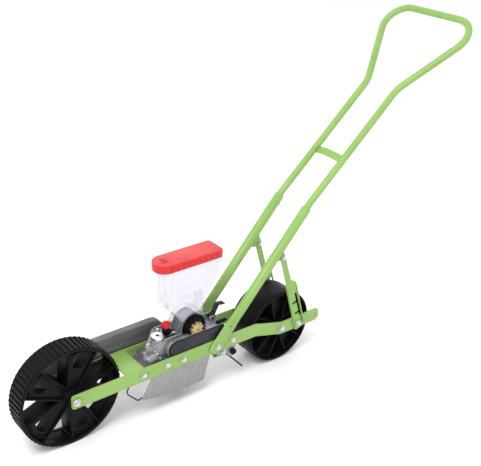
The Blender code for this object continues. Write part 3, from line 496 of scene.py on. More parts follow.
def hexagon(radius, thick, at, side, chamfer=0.7):
    # a hexagon head or nut; at is the face that meets the work
    bm = bmesh.new()
    bmesh.ops.create_cone(bm, cap_ends=True, segments=6, radius1=radius * mm, radius2=radius * mm, depth=thick * mm)
    top = [f for f in bm.faces if f.normal.z > 0.9]
    rim = list({e for f in top for e in f.edges})
    bmesh.ops.bevel(bm, geom=rim, offset=chamfer * mm, offset_type="OFFSET", segments=3, profile=0.5,
                    affect="EDGES", clamp_overlap=True, material=-1)
    bevelSharp(bm, 0.25, 2, 50.0)
    bmesh.ops.translate(bm, vec=(0, 0, thick / 2 * mm), verts=bm.verts)
    bmesh.ops.rotate(bm, matrix=Matrix.Rotation(dice.uniform(0, math.pi / 3), 3, "Z"), verts=bm.verts)
    if side:
        bmesh.ops.rotate(bm, matrix=Matrix.Rotation(-side * math.pi / 2, 3, "X"), verts=bm.verts)
    bmesh.ops.translate(bm, vec=at, verts=bm.verts)
    return bm


def thread(radius, length, at, side, pitch=1.0):
    # a short threaded end that runs from at towards side
    count = max(2, int(length / pitch))
    points = [(0.0, 0.0)]
    for k in range(count):
        points += [(radius - 0.45, side * (k + 0.1) * pitch), (radius, side * (k + 0.5) * pitch)]
    points += [(radius - 0.5, side * (count + 0.05) * pitch), (0.0, side * (count + 0.1) * pitch)]
    return spun(points, at, 20)


def boltPiece(node, body, side, head=4.5, washer=1.6, nut=True, dome=False):
    # a zinc bolt laid over its node: head outside, nut and thread inside
    low, high = boxOf(node)
    mid = (low + high) / 2
    radius = (high.x - low.x) / 2 / mm
    outer, inner = (low.y, high.y) if side < 0 else (high.y, low.y)
    face = outer - side * (head + washer) * mm
    at = Vector((mid.x, face, mid.z))
    shapes = [spun([(radius - 3.2, 0.0), (radius - 0.3, 0.0), (radius, side * 0.3), (radius, side * (washer - 0.4)),
                    (radius - 0.5, side * washer), (radius - 3.2, side * washer)], at, 32, True)]
    seat = at + Vector((0, side * washer * mm, 0))
    if dome:
        cap = [(0.0, 0.0), (radius - 1.5, 0.0)] + [((radius - 1.5) * math.cos(a), side * head * math.sin(a))
                                                   for a in (0.35, 0.7, 1.05, 1.35)] + [(0.0, side * head)]
        shapes.append(spun(cap, seat, 32))
    else:
        shapes.append(hexagon(radius - 2.0, head - 0.1, seat, side))
        shapes.append(spun([(radius - 4.2, side * (head - 0.4)), (radius - 4.6, side * head),
                            (0.0, side * head)], seat, 24))
    shank = 3.0 if radius < 9.5 else 4.0
    reach = abs(inner - face) / mm
    if nut:
        end = at - Vector((0, side * (reach - 6.0) * mm, 0))
        shapes.append(hexagon(radius - 2.5, 4.4, end, -side))
        shapes.append(thread(shank, 1.5, at - Vector((0, side * (reach - 1.6) * mm, 0)), -side, 0.5))
        reach -= 2.0
    shapes.append(spun([(0.0, 0.0), (shank, 0.0), (shank, -side * reach), (0.0, -side * reach)], at, 20))
    return piece(node + "_look", shapes, "zinc", body, [node])


def fasteners():
    for label, side in (("left", -1), ("right", 1)):
        boltPiece(label + "_plate_bolt", "frame", side)
        boltPiece(label + "_body_bolt_front", "frame", side, nut=False, dome=True)
        boltPiece(label + "_body_bolt_rear", "frame", side, nut=False)
        boltPiece(label + "_bracket_bolt", "frame", side)
        boltPiece(label + "_pivot_bolt", "frame", side)
        boltPiece(label + "_strut_top_bolt", "handle_lower", side)
    boltPiece("tine_bolt", "frame", -1)
    print("bolts made")


fasteners()


# wheels

frontWheel = {"node": "front_wheel", "radius": 140.0, "width": 66.0, "band": 136.9, "inner": 131.0, "hub": 21.0,
              "bore": 6.4, "firstSpoke": 215.0, "ribs": 62, "ribWide": 7.0, "wall": 4.2}
rearWheel = {"node": "rear_wheel", "radius": 112.5, "width": 94.0, "band": 112.4, "inner": 104.5, "hub": 20.0,
             "bore": 5.4, "firstSpoke": 235.0, "ribs": 0, "wall": 4.0}


def rimShape(w, at):
    half = w["width"] / 2
    band, inner = w["band"], w["inner"]
    if w["ribs"]:
        outer = [(band, 0.0), (band, half - 3.0), (band + 1.6, half - 1.8), (band + 1.2, half - 0.4), (band - 0.6, half)]
    else:
        outer = [(band, 0.0), (band, half - 26.0), (band - 0.5, half - 25.6), (band - 0.5, half - 24.4),
                 (band, half - 24.0), (band - 0.2, half - 9.0), (band - 1.2, half - 3.6), (band - 3.0, half - 0.8),
                 (band - 4.4, half)]
    inside = [(inner + 1.6, half), (inner + 0.4, half - 0.5), (inner, half - 1.6), (inner, half - 7.0),
              (inner + 1.4, half - 8.0), (inner + 1.4, 6.5), (inner - 0.2, 5.4), (inner - 0.2, 0.0)]
    return spun(bothSides(outer + inside), at, 120, True)


def spokeShapes(w, at):
    # each spoke is two deep walls that part from the hub to the rim, with a web between them
    shapes = []
    deep = w["width"] - 9.0
    hub, inner, radius, face = w["hub"], w["inner"], w["radius"], -w["width"] / 2
    for k in range(5):
        angle = w["firstSpoke"] + 72.0 * k
        for side in (-1, 1):
            root = Vector(polar(hub - 2.5, angle + side * 44.0))
            tip = Vector(polar(inner + 3.4, angle + side * 17.0))
            run = tip - root
            mid = (root + tip) / 2
            shapes.append(block((run.length, deep, w["wall"]), shift(at, mid.x, 0, mid.y),
                                slope(run), 0.9))
            foot = Vector(polar(inner - 2.4, angle + side * 17.6))  # thickened foot where wall meets rim
            shapes.append(block((7.0, deep - 3.0, 7.0), shift(at, foot.x, 0, foot.y),
                                -angle + 45.0 - side * 17.0, 1.6))
        web = [polar(hub - 4, angle - 40), polar(inner + 1, angle - 16.8), polar(inner + 2, angle - 6),
               polar(inner + 2, angle + 6), polar(inner + 1, angle + 16.8), polar(hub - 4, angle + 40)]
        low, high = radius * 0.56, radius * 0.79
        window = [polar(low + 4.0, angle - 10.5), polar(low, angle - 7.5), polar(low - 1.5, angle), polar(low, angle + 7.5),
                  polar(low + 4.0, angle + 10.5), polar(high - 5.0, angle + 10.5), polar(high, angle + 7.0),
                  polar(high + 2.0, angle), polar(high, angle - 7.0), polar(high - 5.0, angle - 10.5)]
        holes = [window] if w["ribs"] else []  # only the ribbed drive wheel's webs are pierced
        depth = 11.0 if w["ribs"] else 22.0
        shapes.append(plate(web, face + depth, face + depth + 3.0, 0.5, at, holes))
        lip = [Vector(polar(radius * 0.84 + radius * 0.055 * math.cos(math.radians(t)), angle + 15.0 * t / 90))
               for t in range(-90, 91, 18)]
        for a, b in zip(lip, lip[1:]):  # rounded end wall of the spoke
            mid = (a + b) / 2
            run = b - a
            shapes.append(block((run.length + 2.0, deep - 4.0, 3.0), shift(at, mid.x, 0, mid.y),
                                slope(run), 0.5))
    return shapes


def treadShapes(w, at):
    shapes = []
    for k in range(w["ribs"]):
        angle = 360.0 * k / w["ribs"]
        x, z = polar((w["band"] + w["radius"]) / 2 - 0.4, angle)
        size = (w["radius"] - w["band"] + 0.8, w["width"] - 2.6, w["ribWide"])
        shapes.append(block(size, shift(at, x, 0, z), -angle, 0.7, 1))
    return shapes


def wheel(w):
    at = middleOf(w["node"])
    hub, bore, half = w["hub"], w["bore"], w["width"] / 2
    end = 46.8
    barrel = [(hub - 5, end), (hub - 5.8, end + 0.2), (bore + 3.0, end + 0.2), (bore + 2.4, end - 1.0), (bore, end - 1.0),
              (bore, 0)]
    skin = [(hub + 1.2, 0), (hub + 1.2, 8.0), (hub, 12.0), (hub - 1.0, half - 10), (hub - 4.2, half - 4), (hub - 5, half)]
    shapes = [rimShape(w, at), spun(bothSides(skin + barrel), at, 56, True)] + spokeShapes(w, at) + treadShapes(w, at)
    for k in range(10):  # short gussets round the hub
        angle = w["firstSpoke"] + 36.0 * k
        x, z = polar(hub + 4.0, angle)
        for side in (-1, 1):
            shapes.append(block((13.0, 7.0, 2.6), shift(at, x, side * 10, z), -angle, 0.6))
    if not w["ribs"]:
        for k in range(30):  # stiffening ribs inside the broad press wheel
            angle = 12.0 * k
            x, z = polar(w["inner"] + 0.4, angle)
            for side in (-1, 1):
                where = shift(at, x, side * (half / 2 + 0.5), z)
                shapes.append(block((3.4, half - 14.0, 2.0), where, -angle, 0.4, 1))
    piece(w["node"] + "_look", shapes, "black_plastic", w["node"], [w["node"]])


def axles():
    for node, body, half, flange in (("front_axle", "front_wheel", 6.0, 56.0), ("rear_axle", "frame", 5.0, 54.3)):
        at = middleOf(node)
        at.y = 0
        low, high = boxOf(node)
        near, far = low.y / mm, high.y / mm
        line = at.copy()
        shapes = [spun([(0, near), (half - 0.8, near), (half, near + 0.8), (half, far - 0.8), (half - 0.8, far),
                        (0, far)], line, 32)]
        for side, start in ((-1, flange), (1, flange if node == "rear_axle" else 70.8)):
            face = at + Vector((0, side * start * mm, 0))
            shapes.append(spun([(half, 0), (10.7, 0), (11, side * 0.4), (11, side * 1.5), (10.6, side * 1.9),
                                (half, side * 1.9)], face, 32, True))
            thick = 5.6 if node == "rear_axle" else 4.4
            shapes.append(hexagon(9.3, thick, shift(face, 0, side * 1.9, 0), side, 1.0))
        piece(node + "_look", shapes, "zinc", body, [node])


wheel(frontWheel)
wheel(rearWheel)
axles()
print("wheels made")


# painted steel

def weldBead(points, size, sides=8):
    # a ripple of weld along a line of points
    path = evenly(points, 1.6)
    sizes = [(size * (1.0 + 0.16 * math.sin(i * 2.3)), size * (1.0 + 0.16 * math.sin(i * 2.3))) for i in range(len(path))]
    return swept(path, size, sides, sizes)


def steelFrame():
    for label in ("left", "right"):
        piece(label + "_frame_bar_look", fromCad(label + "_frame_bar", 0.7, 3), "green_paint", "frame",
              [label + "_frame_bar"])
    piece("scraper_plate_look", fromCad("scraper_plate", 0.8, 3), "green_paint", "frame", ["scraper_plate"])
    print("frame made")


steelFrame()

handle = {"pivotX": 434.0, "pivotZ": 141.0, "mouthX": 735.0, "mouthZ": 484.0, "tubeY": 57.3, "lowerR": 13.5,
          "bore": 10.5, "upperR": 10.0, "angle": 42.3, "straight": 432.0, "flare": 271.0, "corner": 186.0,
          "cornerR": 62.0, "insert": 118.0}


def lowerPath():
    foot = Vector((handle["pivotX"], handle["pivotZ"]))
    mouth = Vector((handle["mouthX"], handle["mouthZ"]))
    return foot, mouth, (mouth - foot).normalized()


def lowerTube(label, side):
    # tube with a foot pressed flat; the section is (along, half width, half thickness)
    foot, mouth, run = lowerPath()
    length = (mouth - foot).length
    r = handle["lowerR"]
    stations = [(-23.0, 9.0, 2.6), (-21.5, 13.0, 2.9), (-18.0, 17.6, 3.0), (-13.0, 20.0, 3.0), (-6.0, 21.0, 3.0),
                (30.0, 21.0, 3.0), (66.0, 20.9, 3.0), (74.0, 20.2, 3.8), (82.0, 19.3, 5.3), (90.0, 18.2, 7.0),
                (100.0, 16.8, 9.2), (110.0, 15.5, 11.2), (119.0, 14.6, 12.3), (128.0, 13.9, 13.1), (138.0, r, r),
                (length - 1.0, r, r), (length, r - 0.8, r - 0.8)]
    lean = Matrix.Rotation(math.atan2(run.x, run.y), 4, "Y")
    base = Matrix.Translation(spot(foot.x, side * handle["tubeY"], foot.y)) @ lean
    inside = [(length, r - 2.2, r - 2.2), (length - 1.0, handle["bore"], handle["bore"]),
              (length - 60.0, handle["bore"], handle["bore"])]
    tube = skinned([base @ Matrix.Translation((0, 0, along * mm)) @ Matrix.Diagonal((wide * mm, thin * mm, mm, 1.0))
                    for along, wide, thin in stations + inside], 36)
    name = label + "_lower_tube"
    piece(name + "_look", [tube] + tabShapes(side), "green_paint", "handle_lower", [name], 40.0)
    hole = foot + run * 68  # spare hole above the pivot, drawn as a dark disc of painted shade
    at = spot(hole.x, side * (handle["tubeY"] + 2.9), hole.y)
    holeShadeDisc = spun([(0, -0.3), (3.4, -0.3), (3.6, 0.3), (0, 0.3)], at, 24)
    piece(label + "_tube_hole_look", [holeShadeDisc], "dark_steel", "handle_lower")
    clamp = mouth - run * 22 + Vector((run.y, -run.x)) * handle["lowerR"]
    at = spot(clamp.x, side * handle["tubeY"], clamp.y)
    out = Vector((run.y, 0, -run.x))
    boss = spun([(0, -1.0), (4.6, -1.0), (4.6, 1.8), (4.0, 2.4), (0, 2.4)], at, 20, False, out)
    head = spun([(0, 2.0), (4.8, 2.0), (5.0, 2.6), (5.0, 4.6), (4.2, 6.0), (2.4, 6.6), (1.2, 6.2), (0, 6.2)],
                at, 20, False, out)
    piece(label + "_clamp_screw_look", [boss, head], "zinc", "handle_lower", [label + "_clamp_screw"])


def tabShapes(side):
    # plate welded under the tube for the strut, with its weld
    foot, _, run = lowerPath()
    top = Vector((660.0, 350.0))
    along = (top - foot).dot(run)
    root = foot + run * along
    outward = (top - root).normalized()
    outline = [root - run * 26, root + run * 26]
    for degrees in range(60, -61, -20):
        a = math.radians(degrees)
        outline.append(top + (outward * math.cos(a) + run * math.sin(a)) * 10.5)
    flat = plate([(axleX / mm + p.x, p.y) for p in outline], side * 53.3, side * 49.7, 0.6)
    edge = [spot(*(p.x, side * 52.4, p.y)) for p in (root - run * 24 + outward * 13.2, root + run * 24 + outward * 13.2)]
    return [flat, weldBead(edge, 1.8)]


def handleLoop():
    _, mouth, run = lowerPath()
    a = math.radians(handle["angle"])
    up = Vector((math.cos(a), math.sin(a)))
    y = handle["tubeY"]

    def along(length, across):
        p = mouth + up * length
        return spot(p.x, across, p.y)

    start = mouth - run * handle["insert"]
    bend = mouth + run * 14
    total = handle["straight"] + handle["flare"]
    points = [(spot(start.x, -y, start.y), 0), (spot(bend.x, -y, bend.y), 60), (along(handle["straight"], -y), 90),
              (along(total, -handle["corner"]), handle["cornerR"]), (along(total, handle["corner"]), handle["cornerR"]),
              (along(handle["straight"], y), 90), (spot(bend.x, y, bend.y), 60), (spot(start.x, y, start.y), 0)]
    tube = swept(evenly(rounded(points, 60, 14), 60), handle["upperR"], 28)
    piece("handle_loop_look", [tube], "green_paint", "handle_upper", ["handle_loop"], 40.0)
    brace = fromCad("cross_brace", 0.5, 2, 50.0)
    welds = []
    for side in (-1, 1):
        ends = []
        for step in (-10.5, 10.5):
            p = along(172.0 + step, side * (y - handle["upperR"] + 0.6))
            ends.append(p)
        welds.append(weldBead(ends, 1.5))
    piece("cross_brace_look", [brace] + welds, "green_paint", "handle_upper", ["cross_brace"], 40.0)


def struts():
    for label, side in (("left", -1), ("right", 1)):
        piece(label + "_strut_look", fromCad(label + "_strut", 0.5, 2, 40.0), "green_paint", "struts",
              [label + "_strut"])
        low, high = boxOf(label + "_strut_bolt")
        at = (low + high) / 2
        face = low.y if side < 0 else high.y
        seat = Vector((at.x, face - side * 7.0 * mm, at.z))
        shapes = [spun([(0, -side * 2.9), (4.0, -side * 2.9), (4.0, 0), (9.8, 0), (10, side * 0.3), (10, side * 1.5),
                        (9.6, side * 1.9), (0, side * 1.9)], seat, 32),
                  hexagon(7.6, 4.9, seat + Vector((0, side * 1.9 * mm, 0)), side, 1.0)]
        piece(label + "_strut_bolt_look", shapes, "zinc", "struts", [label + "_strut_bolt"])


for label, side in (("left", -1), ("right", 1)):
    lowerTube(label, side)
handleLoop()
struts()
print("handle made")


# seeding unit

shaft = {"x": 304.0, "z": 176.0, "spacingX": 440.0, "deck": 200.0, "left": -33.0}
roller = {"x": 376.0, "z": 211.5, "drum": 34.0, "brush": 36.3, "dome": 48.0}


def castBody():
    # the casting keeps its node's shape and gains its ribs, lugs and bosses
    deck, left = shaft["deck"], shaft["left"]
    noseTurn = 47.3  # degrees, the slant of the casting's front
    shapes = [fromCad("seeder_body", 1.2, 3, 40.0)]
    for x, z, r, y0 in ((214.0, 190.0, 6.5, -39.0), (218.0, 177.0, 9.5, -41.5), (246.0, 182.0, 8.0, -40.5),
                        (258.0, 160.0, 6.5, -41.0), (236.0, 166.0, 5.0, -42.0)):
        boss = [(0, y0), (r - 2.2, y0), (r - 1.2, y0 + 0.5), (r, y0 + 4.0), (r + 0.6, left + 1.5), (0, left + 1.5)]
        shapes.append(spun(boss, spot(x, 0, z), 28))
    shapes.append(block((62.0, 4.0, 7.0), spot(247.0, -8.6, deck + 2.0), noseTurn, 1.2, 3, "Z"))
    shapes.append(block((84.0, 4.0, 7.0), spot(330.0, 37.0, deck + 2.0), 0.0, 1.2, 3))
    shapes.append(block((40.0, 4.0, 5.0), spot(262.0, -31.0, deck + 1.2), 0.0, 1.2, 3))
    shapes.append(block((56.0, 5.0, 9.0), spot(304.0, -29.5, deck + 3.5), 0.0, 1.4, 3))
    shapes.append(block((26.0, 34.0, 12.0), spot(433.0, 22.0, deck + 5.0), 0.0, 2.4, 3, taper=0.86))
    for x, y, r, tall in ((228.0, -27.0, 7.5, 8.0), (238.0, -18.0, 5.5, 5.0), (292.0, 24.0, 6.5, 5.0),
                          (342.0, 36.0, 6.5, 5.0), (426.0, 36.5, 5.5, 5.0)):
        pad = [(0, tall), (r - 1.6, tall), (r - 0.6, tall - 0.6), (r, 1.0), (r + 1.4, 0.0), (r + 1.4, -1.0), (0, -1.0)]
        shapes.append(spun(pad, spot(x, y, deck), 28, False, "Z"))
    for k in range(5):  # ribs down the slanted front
        along = 8.0 + 16.0 * k
        where = spot(213.0 + 0.678 * along, -35.0 + 0.735 * along + 1.0, 181.0)
        shapes.append(block((3.0, 4.0, 22.0), where, noseTurn, 1.0, 2, "Z"))
    for k in range(6):  # gussets down the left wall
        shapes.append(block((3.2, 5.0, 26.0), spot(278.0 + 34.0 * k, left - 1.2, 140.0), 0.0, 1.0, 2, taper=0.7))
    piece("seeder_body_look", shapes, "cast_aluminium", "frame", ["seeder_body"], 40.0)
    rim = racetrack(25.4, -45.4)
    case = [fromCad("chain_case", 0.8, 3, 45.0), wireLoop(rim, 0.9)]
    piece("chain_case_look", case, "cast_aluminium", "frame", ["chain_case"], 40.0)
    cover = [fromCad("chain_cover", 0.9, 3, 45.0)]
    cover.append(wireLoop(racetrack(18.0, -49.0), 0.8))
    piece("chain_cover_look", cover, "slate_plastic", "frame", ["chain_cover"], 40.0)
    screws = []
    for x, y, tall in ((228.0, -27.0, 8.0), (292.0, 24.0, 5.0), (342.0, 36.0, 5.0)):
        screws.append(hexagon(4.2, 2.8, spot(x, y, deck + tall), 0, 0.6))
    screws.append(block((15.0, 9.0, 1.6), spot(322.0, -14.0, deck + 6.4), 0.0, 0.4, 2))
    screws.append(block((1.6, 9.0, 6.4), spot(329.0, -14.0, deck + 3.4), 0.0, 0.4, 2))
    for x, z, y in ((218.0, 177.0, -41.5), (246.0, 182.0, -40.5), (258.0, 160.0, -41.0)):
        screws.append(hexagon(4.0, 3.0, spot(x, y, z), -1, 0.6))
    piece("body_screws_look", screws, "zinc", "frame", (), 35.0)
    # a thin black plate laid flat on the deck over the slot is painted shade of the opening, with a small black block
    # beside it
    slot = [block((34.0, 13.0, 1.0), spot(305.0, -19.0, deck + 0.7), 0.0, 0.3, 2)]
    slot.append(block((8.0, 16.0, 5.0), spot(322.0, 0.0, deck + 2.8), 0.0, 0.8, 2))
    piece("deck_slot_shade_look", slot, "black_plastic", "frame")


def racetrack(radius, y):
    # the line round the chain case at a given distance from its two centres
    a, b = (shaft["x"] + 1.0, shaft["z"]), (shaft["spacingX"] + 7.0, shaft["z"])
    points = ringPoints(a, radius, 16, 90.0, 270.0) + ringPoints(b, radius, 16, -90.0, 90.0)
    return [spot(x, y, z) for x, z in points]


def gateControls():
    low, high = boxOf("gate_base")
    at = Vector(((low.x + high.x) / 2, 0.0, low.z))
    tall = (high.z - low.z) / mm
    base = [(0, 0), (10.6, 0), (11, 0.4), (11, 3.0), (9.4, 3.6), (9.4, 6.0), (11, 6.6), (11, tall - 5.4), (10.4, tall - 4.6),
            (9.0, tall - 0.8), (8.4, tall), (0, tall)]
    piece("gate_base_look", [spun(base, at, 40, False, "Z")], "black_plastic", "frame", ["gate_base"])
    low, high = boxOf("gate_knob")
    at = (low + high) / 2
    half = (high.z - low.z) / 2 / mm
    body = [(0, -half), (9.8, -half), (10.6, -half + 0.8), (10.6, half - 4.2), (9.6, half - 2.0), (7.6, half - 0.7),
            (5.0, half - 0.1), (4.4, half), (3.6, half - 0.6), (0, half - 0.6)]
    shapes = [spun(body, at, 48, False, "Z")]
    for k in range(16):
        x, y = polar(10.5, 22.5 * k)
        shapes.append(block((2.0, 2.0, 2 * half - 6.0), at + Vector((x * mm, y * mm, -1.6 * mm)), 22.5 * k, 0.6, 2, "Z"))
    shapes.append(block((9.0, 1.6, 1.0), at + Vector((0, 0, (half - 0.5) * mm)), 30.0, 0.3, 2, "Z"))
    piece("gate_knob_look", shapes, "red_plastic", "gate_knob", ["gate_knob"])
    at = middleOf("clamp_nut")
    nut = [(19, -7.0), (18.4, -7.0), (5.2, -7.0), (5.2, 7.0), (8.0, 7.0), (8.8, 6.2), (12.4, 6.2), (13.2, 7.0), (16.8, 7.0),
           (17.6, 6.4), (17.8, 2.0), (16.4, 1.0), (16.4, -3.6), (18.6, -4.4), (19.0, -5.0), (19.0, -6.6)]
    shapes = [spun(nut[1:], at, 44, True, "Z")]
    for k in range(4):
        x, y = polar(17.0, 45.0 + 90.0 * k)
        shapes.append(block((3.6, 7.0, 5.0), at + Vector((x * mm, y * mm, -1.5 * mm)), 45.0 + 90.0 * k, 0.8, 2, "Z"))
    piece("clamp_nut_look", shapes, "zinc", "frame", ["clamp_nut"])


def seedRoller():
    at = middleOf("seed_roller")
    at.y = 0
    r = roller["drum"]
    drum = [(5.3, 26.0), (r - 1.0, 26.0), (r, 25.0), (r, 17.0), (r - 0.8, 16.4), (r - 0.8, 14.4), (r, 13.8), (r, -13.8),
            (r - 0.8, -14.4), (r - 0.8, -16.4), (r, -17.0), (r, -25.2), (r - 0.8, -26.0), (22.0, -26.0), (22.0, -27.0),
            (26.0, -27.4), (26.4, -31.6), (25.4, -32.5), (12.4, -32.5), (12.0, -32.0), (12.0, -27.5), (5.3, -27.5)]
    shapes = [spun(drum, at, 72, True)]
    for k in range(72):  # brush tufts on the end ring
        angle = 5.0 * k + dice.uniform(-1.2, 1.2)
        x, z = polar((26.0 + roller["brush"]) / 2, angle)
        tuft = block((roller["brush"] - 25.6, dice.uniform(2.6, 4.4), 1.5),
                     at + Vector((x * mm, dice.uniform(-30.4, -28.8) * mm, z * mm)), -angle, 0.3, 1)
        shapes.append(tuft)
    for row in range(2):
        for k in range(20):  # seed pockets' raised lips
            x, z = polar(r - 0.6, 18.0 * k + 9.0 * row)
            pocket = [(1.8, -0.8), (3.4, -0.8), (3.4, 0.5), (3.0, 0.9), (2.2, 0.9), (1.8, 0.5)]
            way = Vector((x, 0, z)).normalized()
            shapes.append(spun(pocket, at + Vector((x * mm, (row * 14.0 - 7.0) * mm, z * mm)), 10, True, way))
    piece("seed_roller_look", shapes, "black_plastic", "seed_roller", ["seed_roller"])
    star = [fromCad("roller_star", 0.9, 2, 35.0)]
    star.append(spun([(5.0, -45.0), (8.6, -45.0), (9.4, -44.2), (9.4, -43.0), (5.0, -43.0)], at, 32, True))
    star.append(spun([(0, -47.0), (2.8, -47.0), (3.6, -46.4), (3.6, -44.6), (0, -44.6)], at, 24))
    piece("roller_star_look", star, "brass", "seed_roller", ["roller_star"])


def rollerDome():
    # clear housing with stepped rings and a flange round its foot
    x, z, r, deck = roller["x"], roller["z"], roller["dome"], shaft["deck"]
    shapes = [fromCad("roller_housing", 0.5, 2, 50.0)]
    reach = math.degrees(math.asin((z - deck - 3.0) / r))
    for radius, y in ((r - 1.2, 26.0), (r - 1.2, 8.0), (r - 1.2, -6.0), (r - 4.8, -15.6), (r - 8.6, -24.6)):
        path = [spot(px, y, pz) for px, pz in ringPoints((x, z), radius, 40, -reach, 180.0 + reach)]
        shapes.append(swept(path, 1.3, 10))
    for side in (-1, 1):
        shapes.append(block((9.0, 52.0, 3.0), spot(x + side * (r + 3.0), 2.0, deck + 2.2), 0.0, 0.8, 2))
    piece("roller_housing_look", shapes, "clear_plastic", "frame", ["roller_housing"], 35.0, finishes["clear_dome"])


def hopperAndLid():
    shapes = [fromCad("hopper", 0.9, 3, 50.0)]
    for y in (-30.2, 30.2):
        shapes.append(block((1.6, 1.6, 118.0), spot(300.0, y * 0.94, 342.0), 7.5, 0.5, 2))
    shapes.append(block((24.0, 16.0, 40.0), spot(409.0, 0.0, 277.0), 0.0, 2.5, 3))
    for z in (318.0, 346.0, 374.0):  # measuring lines moulded in the wall
        shapes.append(block((64.0, 1.0, 0.8), spot(352.0, -31.6, z), 0.0, 0.25, 1))
    piece("hopper_look", shapes, "clear_plastic", "hopper", ["hopper"], 35.0)
    # a thin red plate laid slanting at the hopper's lower front
    redPlate = [block((34.0, 44.0, 1.2), spot(317.5, 0.0, 263.6), 47.0, 0.4, 2)]
    piece("hopper_red_plate_look", redPlate, "red_plastic", "hopper")
    top = boxOf("hopper_lid")[1].z / mm
    lid = [fromCad("hopper_lid", 2.6, 4, 40.0)]
    for k in range(3):
        lid.append(block((12.0, 26.0, 0.6), spot(287.0 + 9.0 * k, 0.0, top - 0.2), 0.0, 0.25, 2))
    for k in range(9):
        x = 300.0 + 18.0 * k
        for side in (-1, 1):
            lid.append(block((3.0, 0.8, 14.0), spot(x, side * 33.6, top - 12.0), 0.0, 0.3, 2))
    piece("hopper_lid_look", lid, "red_plastic", "hopper_lid", ["hopper_lid"], 40.0)


def guardCover():
    shapes = [fromCad("chain_guard", 3.0, 4, 40.0)]
    face = boxOf("chain_guard")[1].y / mm
    for x, z in ((0.0, 140.0), (shaft["x"], shaft["z"])):
        boss = [(0, face - 1.0), (11.0, face - 1.0), (10.4, face - 0.1), (0, face - 0.1)]
        shapes.append(spun(boss, spot(x, 0, z), 32))
    piece("chain_guard_look", shapes, "guard_plastic", "frame", ["chain_guard"], 40.0)
    screws = [hexagon(3.8, 1.6, spot(x, face - 1.8, z), 1, 0.5) for x, z in ((60.0, 200.0), (60.0, 96.0), (262.0, 150.0),
                                                                           (254.0, 200.0))]
    piece("guard_screws_look", screws, "zinc", "frame", (), 35.0)


def sheetParts():
    # skirts with rolled hems, the wire stay, brackets and the sprung tine
    for label, side in (("left", -1), ("right", 1)):
        y = side * 49.0
        hem = rounded([spot(229.6, y, 118.0), spot(194.6, y, 60.0), spot(253.0, y, 43.8), spot(319.0, y, 38.9),
                       spot(396.4, y, 42.0), spot(414.4, y, 118.0)], 5, 5)
        skirt = [fromCad(label + "_skirt", 0.3, 2), swept(evenly(hem, 20), 1.0, 10)]
        for x in (262.0, 348.0):
            skirt.append(block((2.0, 1.6, 62.0), spot(x, y, 82.0), 0.0, 0.5, 2))
        piece(label + "_skirt_look", skirt, "galvanised", "frame", [label + "_skirt"], 35.0)
        bracket = [fromCad(label + "_tine_bracket", 0.4, 2)]
        piece(label + "_tine_bracket_look", bracket, "galvanised", "frame", [label + "_tine_bracket"], 40.0)
    piece("skirt_wire_look", [fromCad("skirt_wire", 0.0)], "dark_steel", "frame", ["skirt_wire"], 50.0)
    coil = []
    for k in range(73):
        x, z = polar(7.4, 20.0 * k)
        coil.append(spot(462.0 + x, -46.0 + 0.135 * k, 110.0 + z))
    piece("tine_look", [fromCad("tine", 0.0), swept(coil, 2.2, 10)], "dark_steel", "tine", ["tine"], 50.0)
    knob = [(0, -62.0), (5.0, -62.0), (7.6, -60.6), (9.0, -58.0), (9.0, -52.6), (8.0, -50.6), (0, -50.2)]
    piece("tine_knob_look", [spun(knob, spot(494.0, 0.0, 101.0), 32)], "black_plastic", "frame", (), 35.0)


def chainLoop(node, slot, far, near, pitch, y, width):
    # roller chain: rollers and plates in turn along the loop
    (ax, az, ra), (bx, bz, rb) = far, near
    heading = math.degrees(math.atan2(bz - az, bx - ax))
    gap = math.hypot(bx - ax, bz - az)
    lean = math.degrees(math.asin((ra - rb) / gap))
    path = ringPoints((ax, az), ra, 60, heading + 90 - lean, heading + 270 + lean)
    path += ringPoints((bx, bz), rb, 60, heading - 90 + lean, heading + 90 - lean)
    loop = [Vector(p) for p in path] + [Vector(path[0])]
    length = sum((b - a).length for a, b in zip(loop, loop[1:]))
    count = 2 * round(length / pitch / 2)
    step = length / count
    places = [loop[0]]
    walked = 0.0
    for a, b in zip(loop, loop[1:]):
        size = (b - a).length
        while len(places) < count and walked + size >= step * len(places):
            places.append(a.lerp(b, (step * len(places) - walked) / size))
        walked += size
    shapes = []
    tall = pitch * 0.21
    for k, place in enumerate(places):
        follow = places[(k + 1) % count]
        run = follow - place
        mid = (place + follow) / 2
        out = width / 2 - (0.4 if k % 2 else 1.2)
        turn = slope(run)
        for side in (-1, 1):
            shapes.append(block((run.length + 2 * tall * 0.8, 0.7, 2 * tall), spot(mid.x, y + side * out, mid.y), turn,
                                tall * 0.3, 1))
        shapes.append(spun([(0, y - width / 2), (tall * 0.7, y - width / 2), (tall * 0.7, y + width / 2),
                            (0, y + width / 2)], spot(place.x, 0, place.y), 8))
    piece(node + "_look", shapes, slot, "frame", [node], 40.0)


def plainCopies():
    for node, slot, body, width in (
            ("chain_guard_back", "guard_plastic", "frame", 0.3),
            ("hopper_latch", "dark_steel", "hopper_latch", 0.4), ("case_catch", "black_plastic", "case_catch", 0.6),
            ("opener_shoe", "dark_steel", "frame", 0.8), ("bracket_tie_rod", "dark_steel", "frame", 0.8),
            ("drive_sprocket", "dark_steel", "front_wheel", 0.4), ("shaft_sprocket", "dark_steel", "drive_shaft", 0.4),
            ("drive_shaft", "zinc", "drive_shaft", 0.4),
            ("spacing_sprocket_front", "dark_steel", "drive_shaft", 0.3),
            ("spacing_sprocket_rear", "dark_steel", "spacing_sprocket", 0.3)):
        piece(node + "_look", [fromCad(node, width, 3 if width > 1 else 2, 40.0)], slot, body, [node], 40.0)


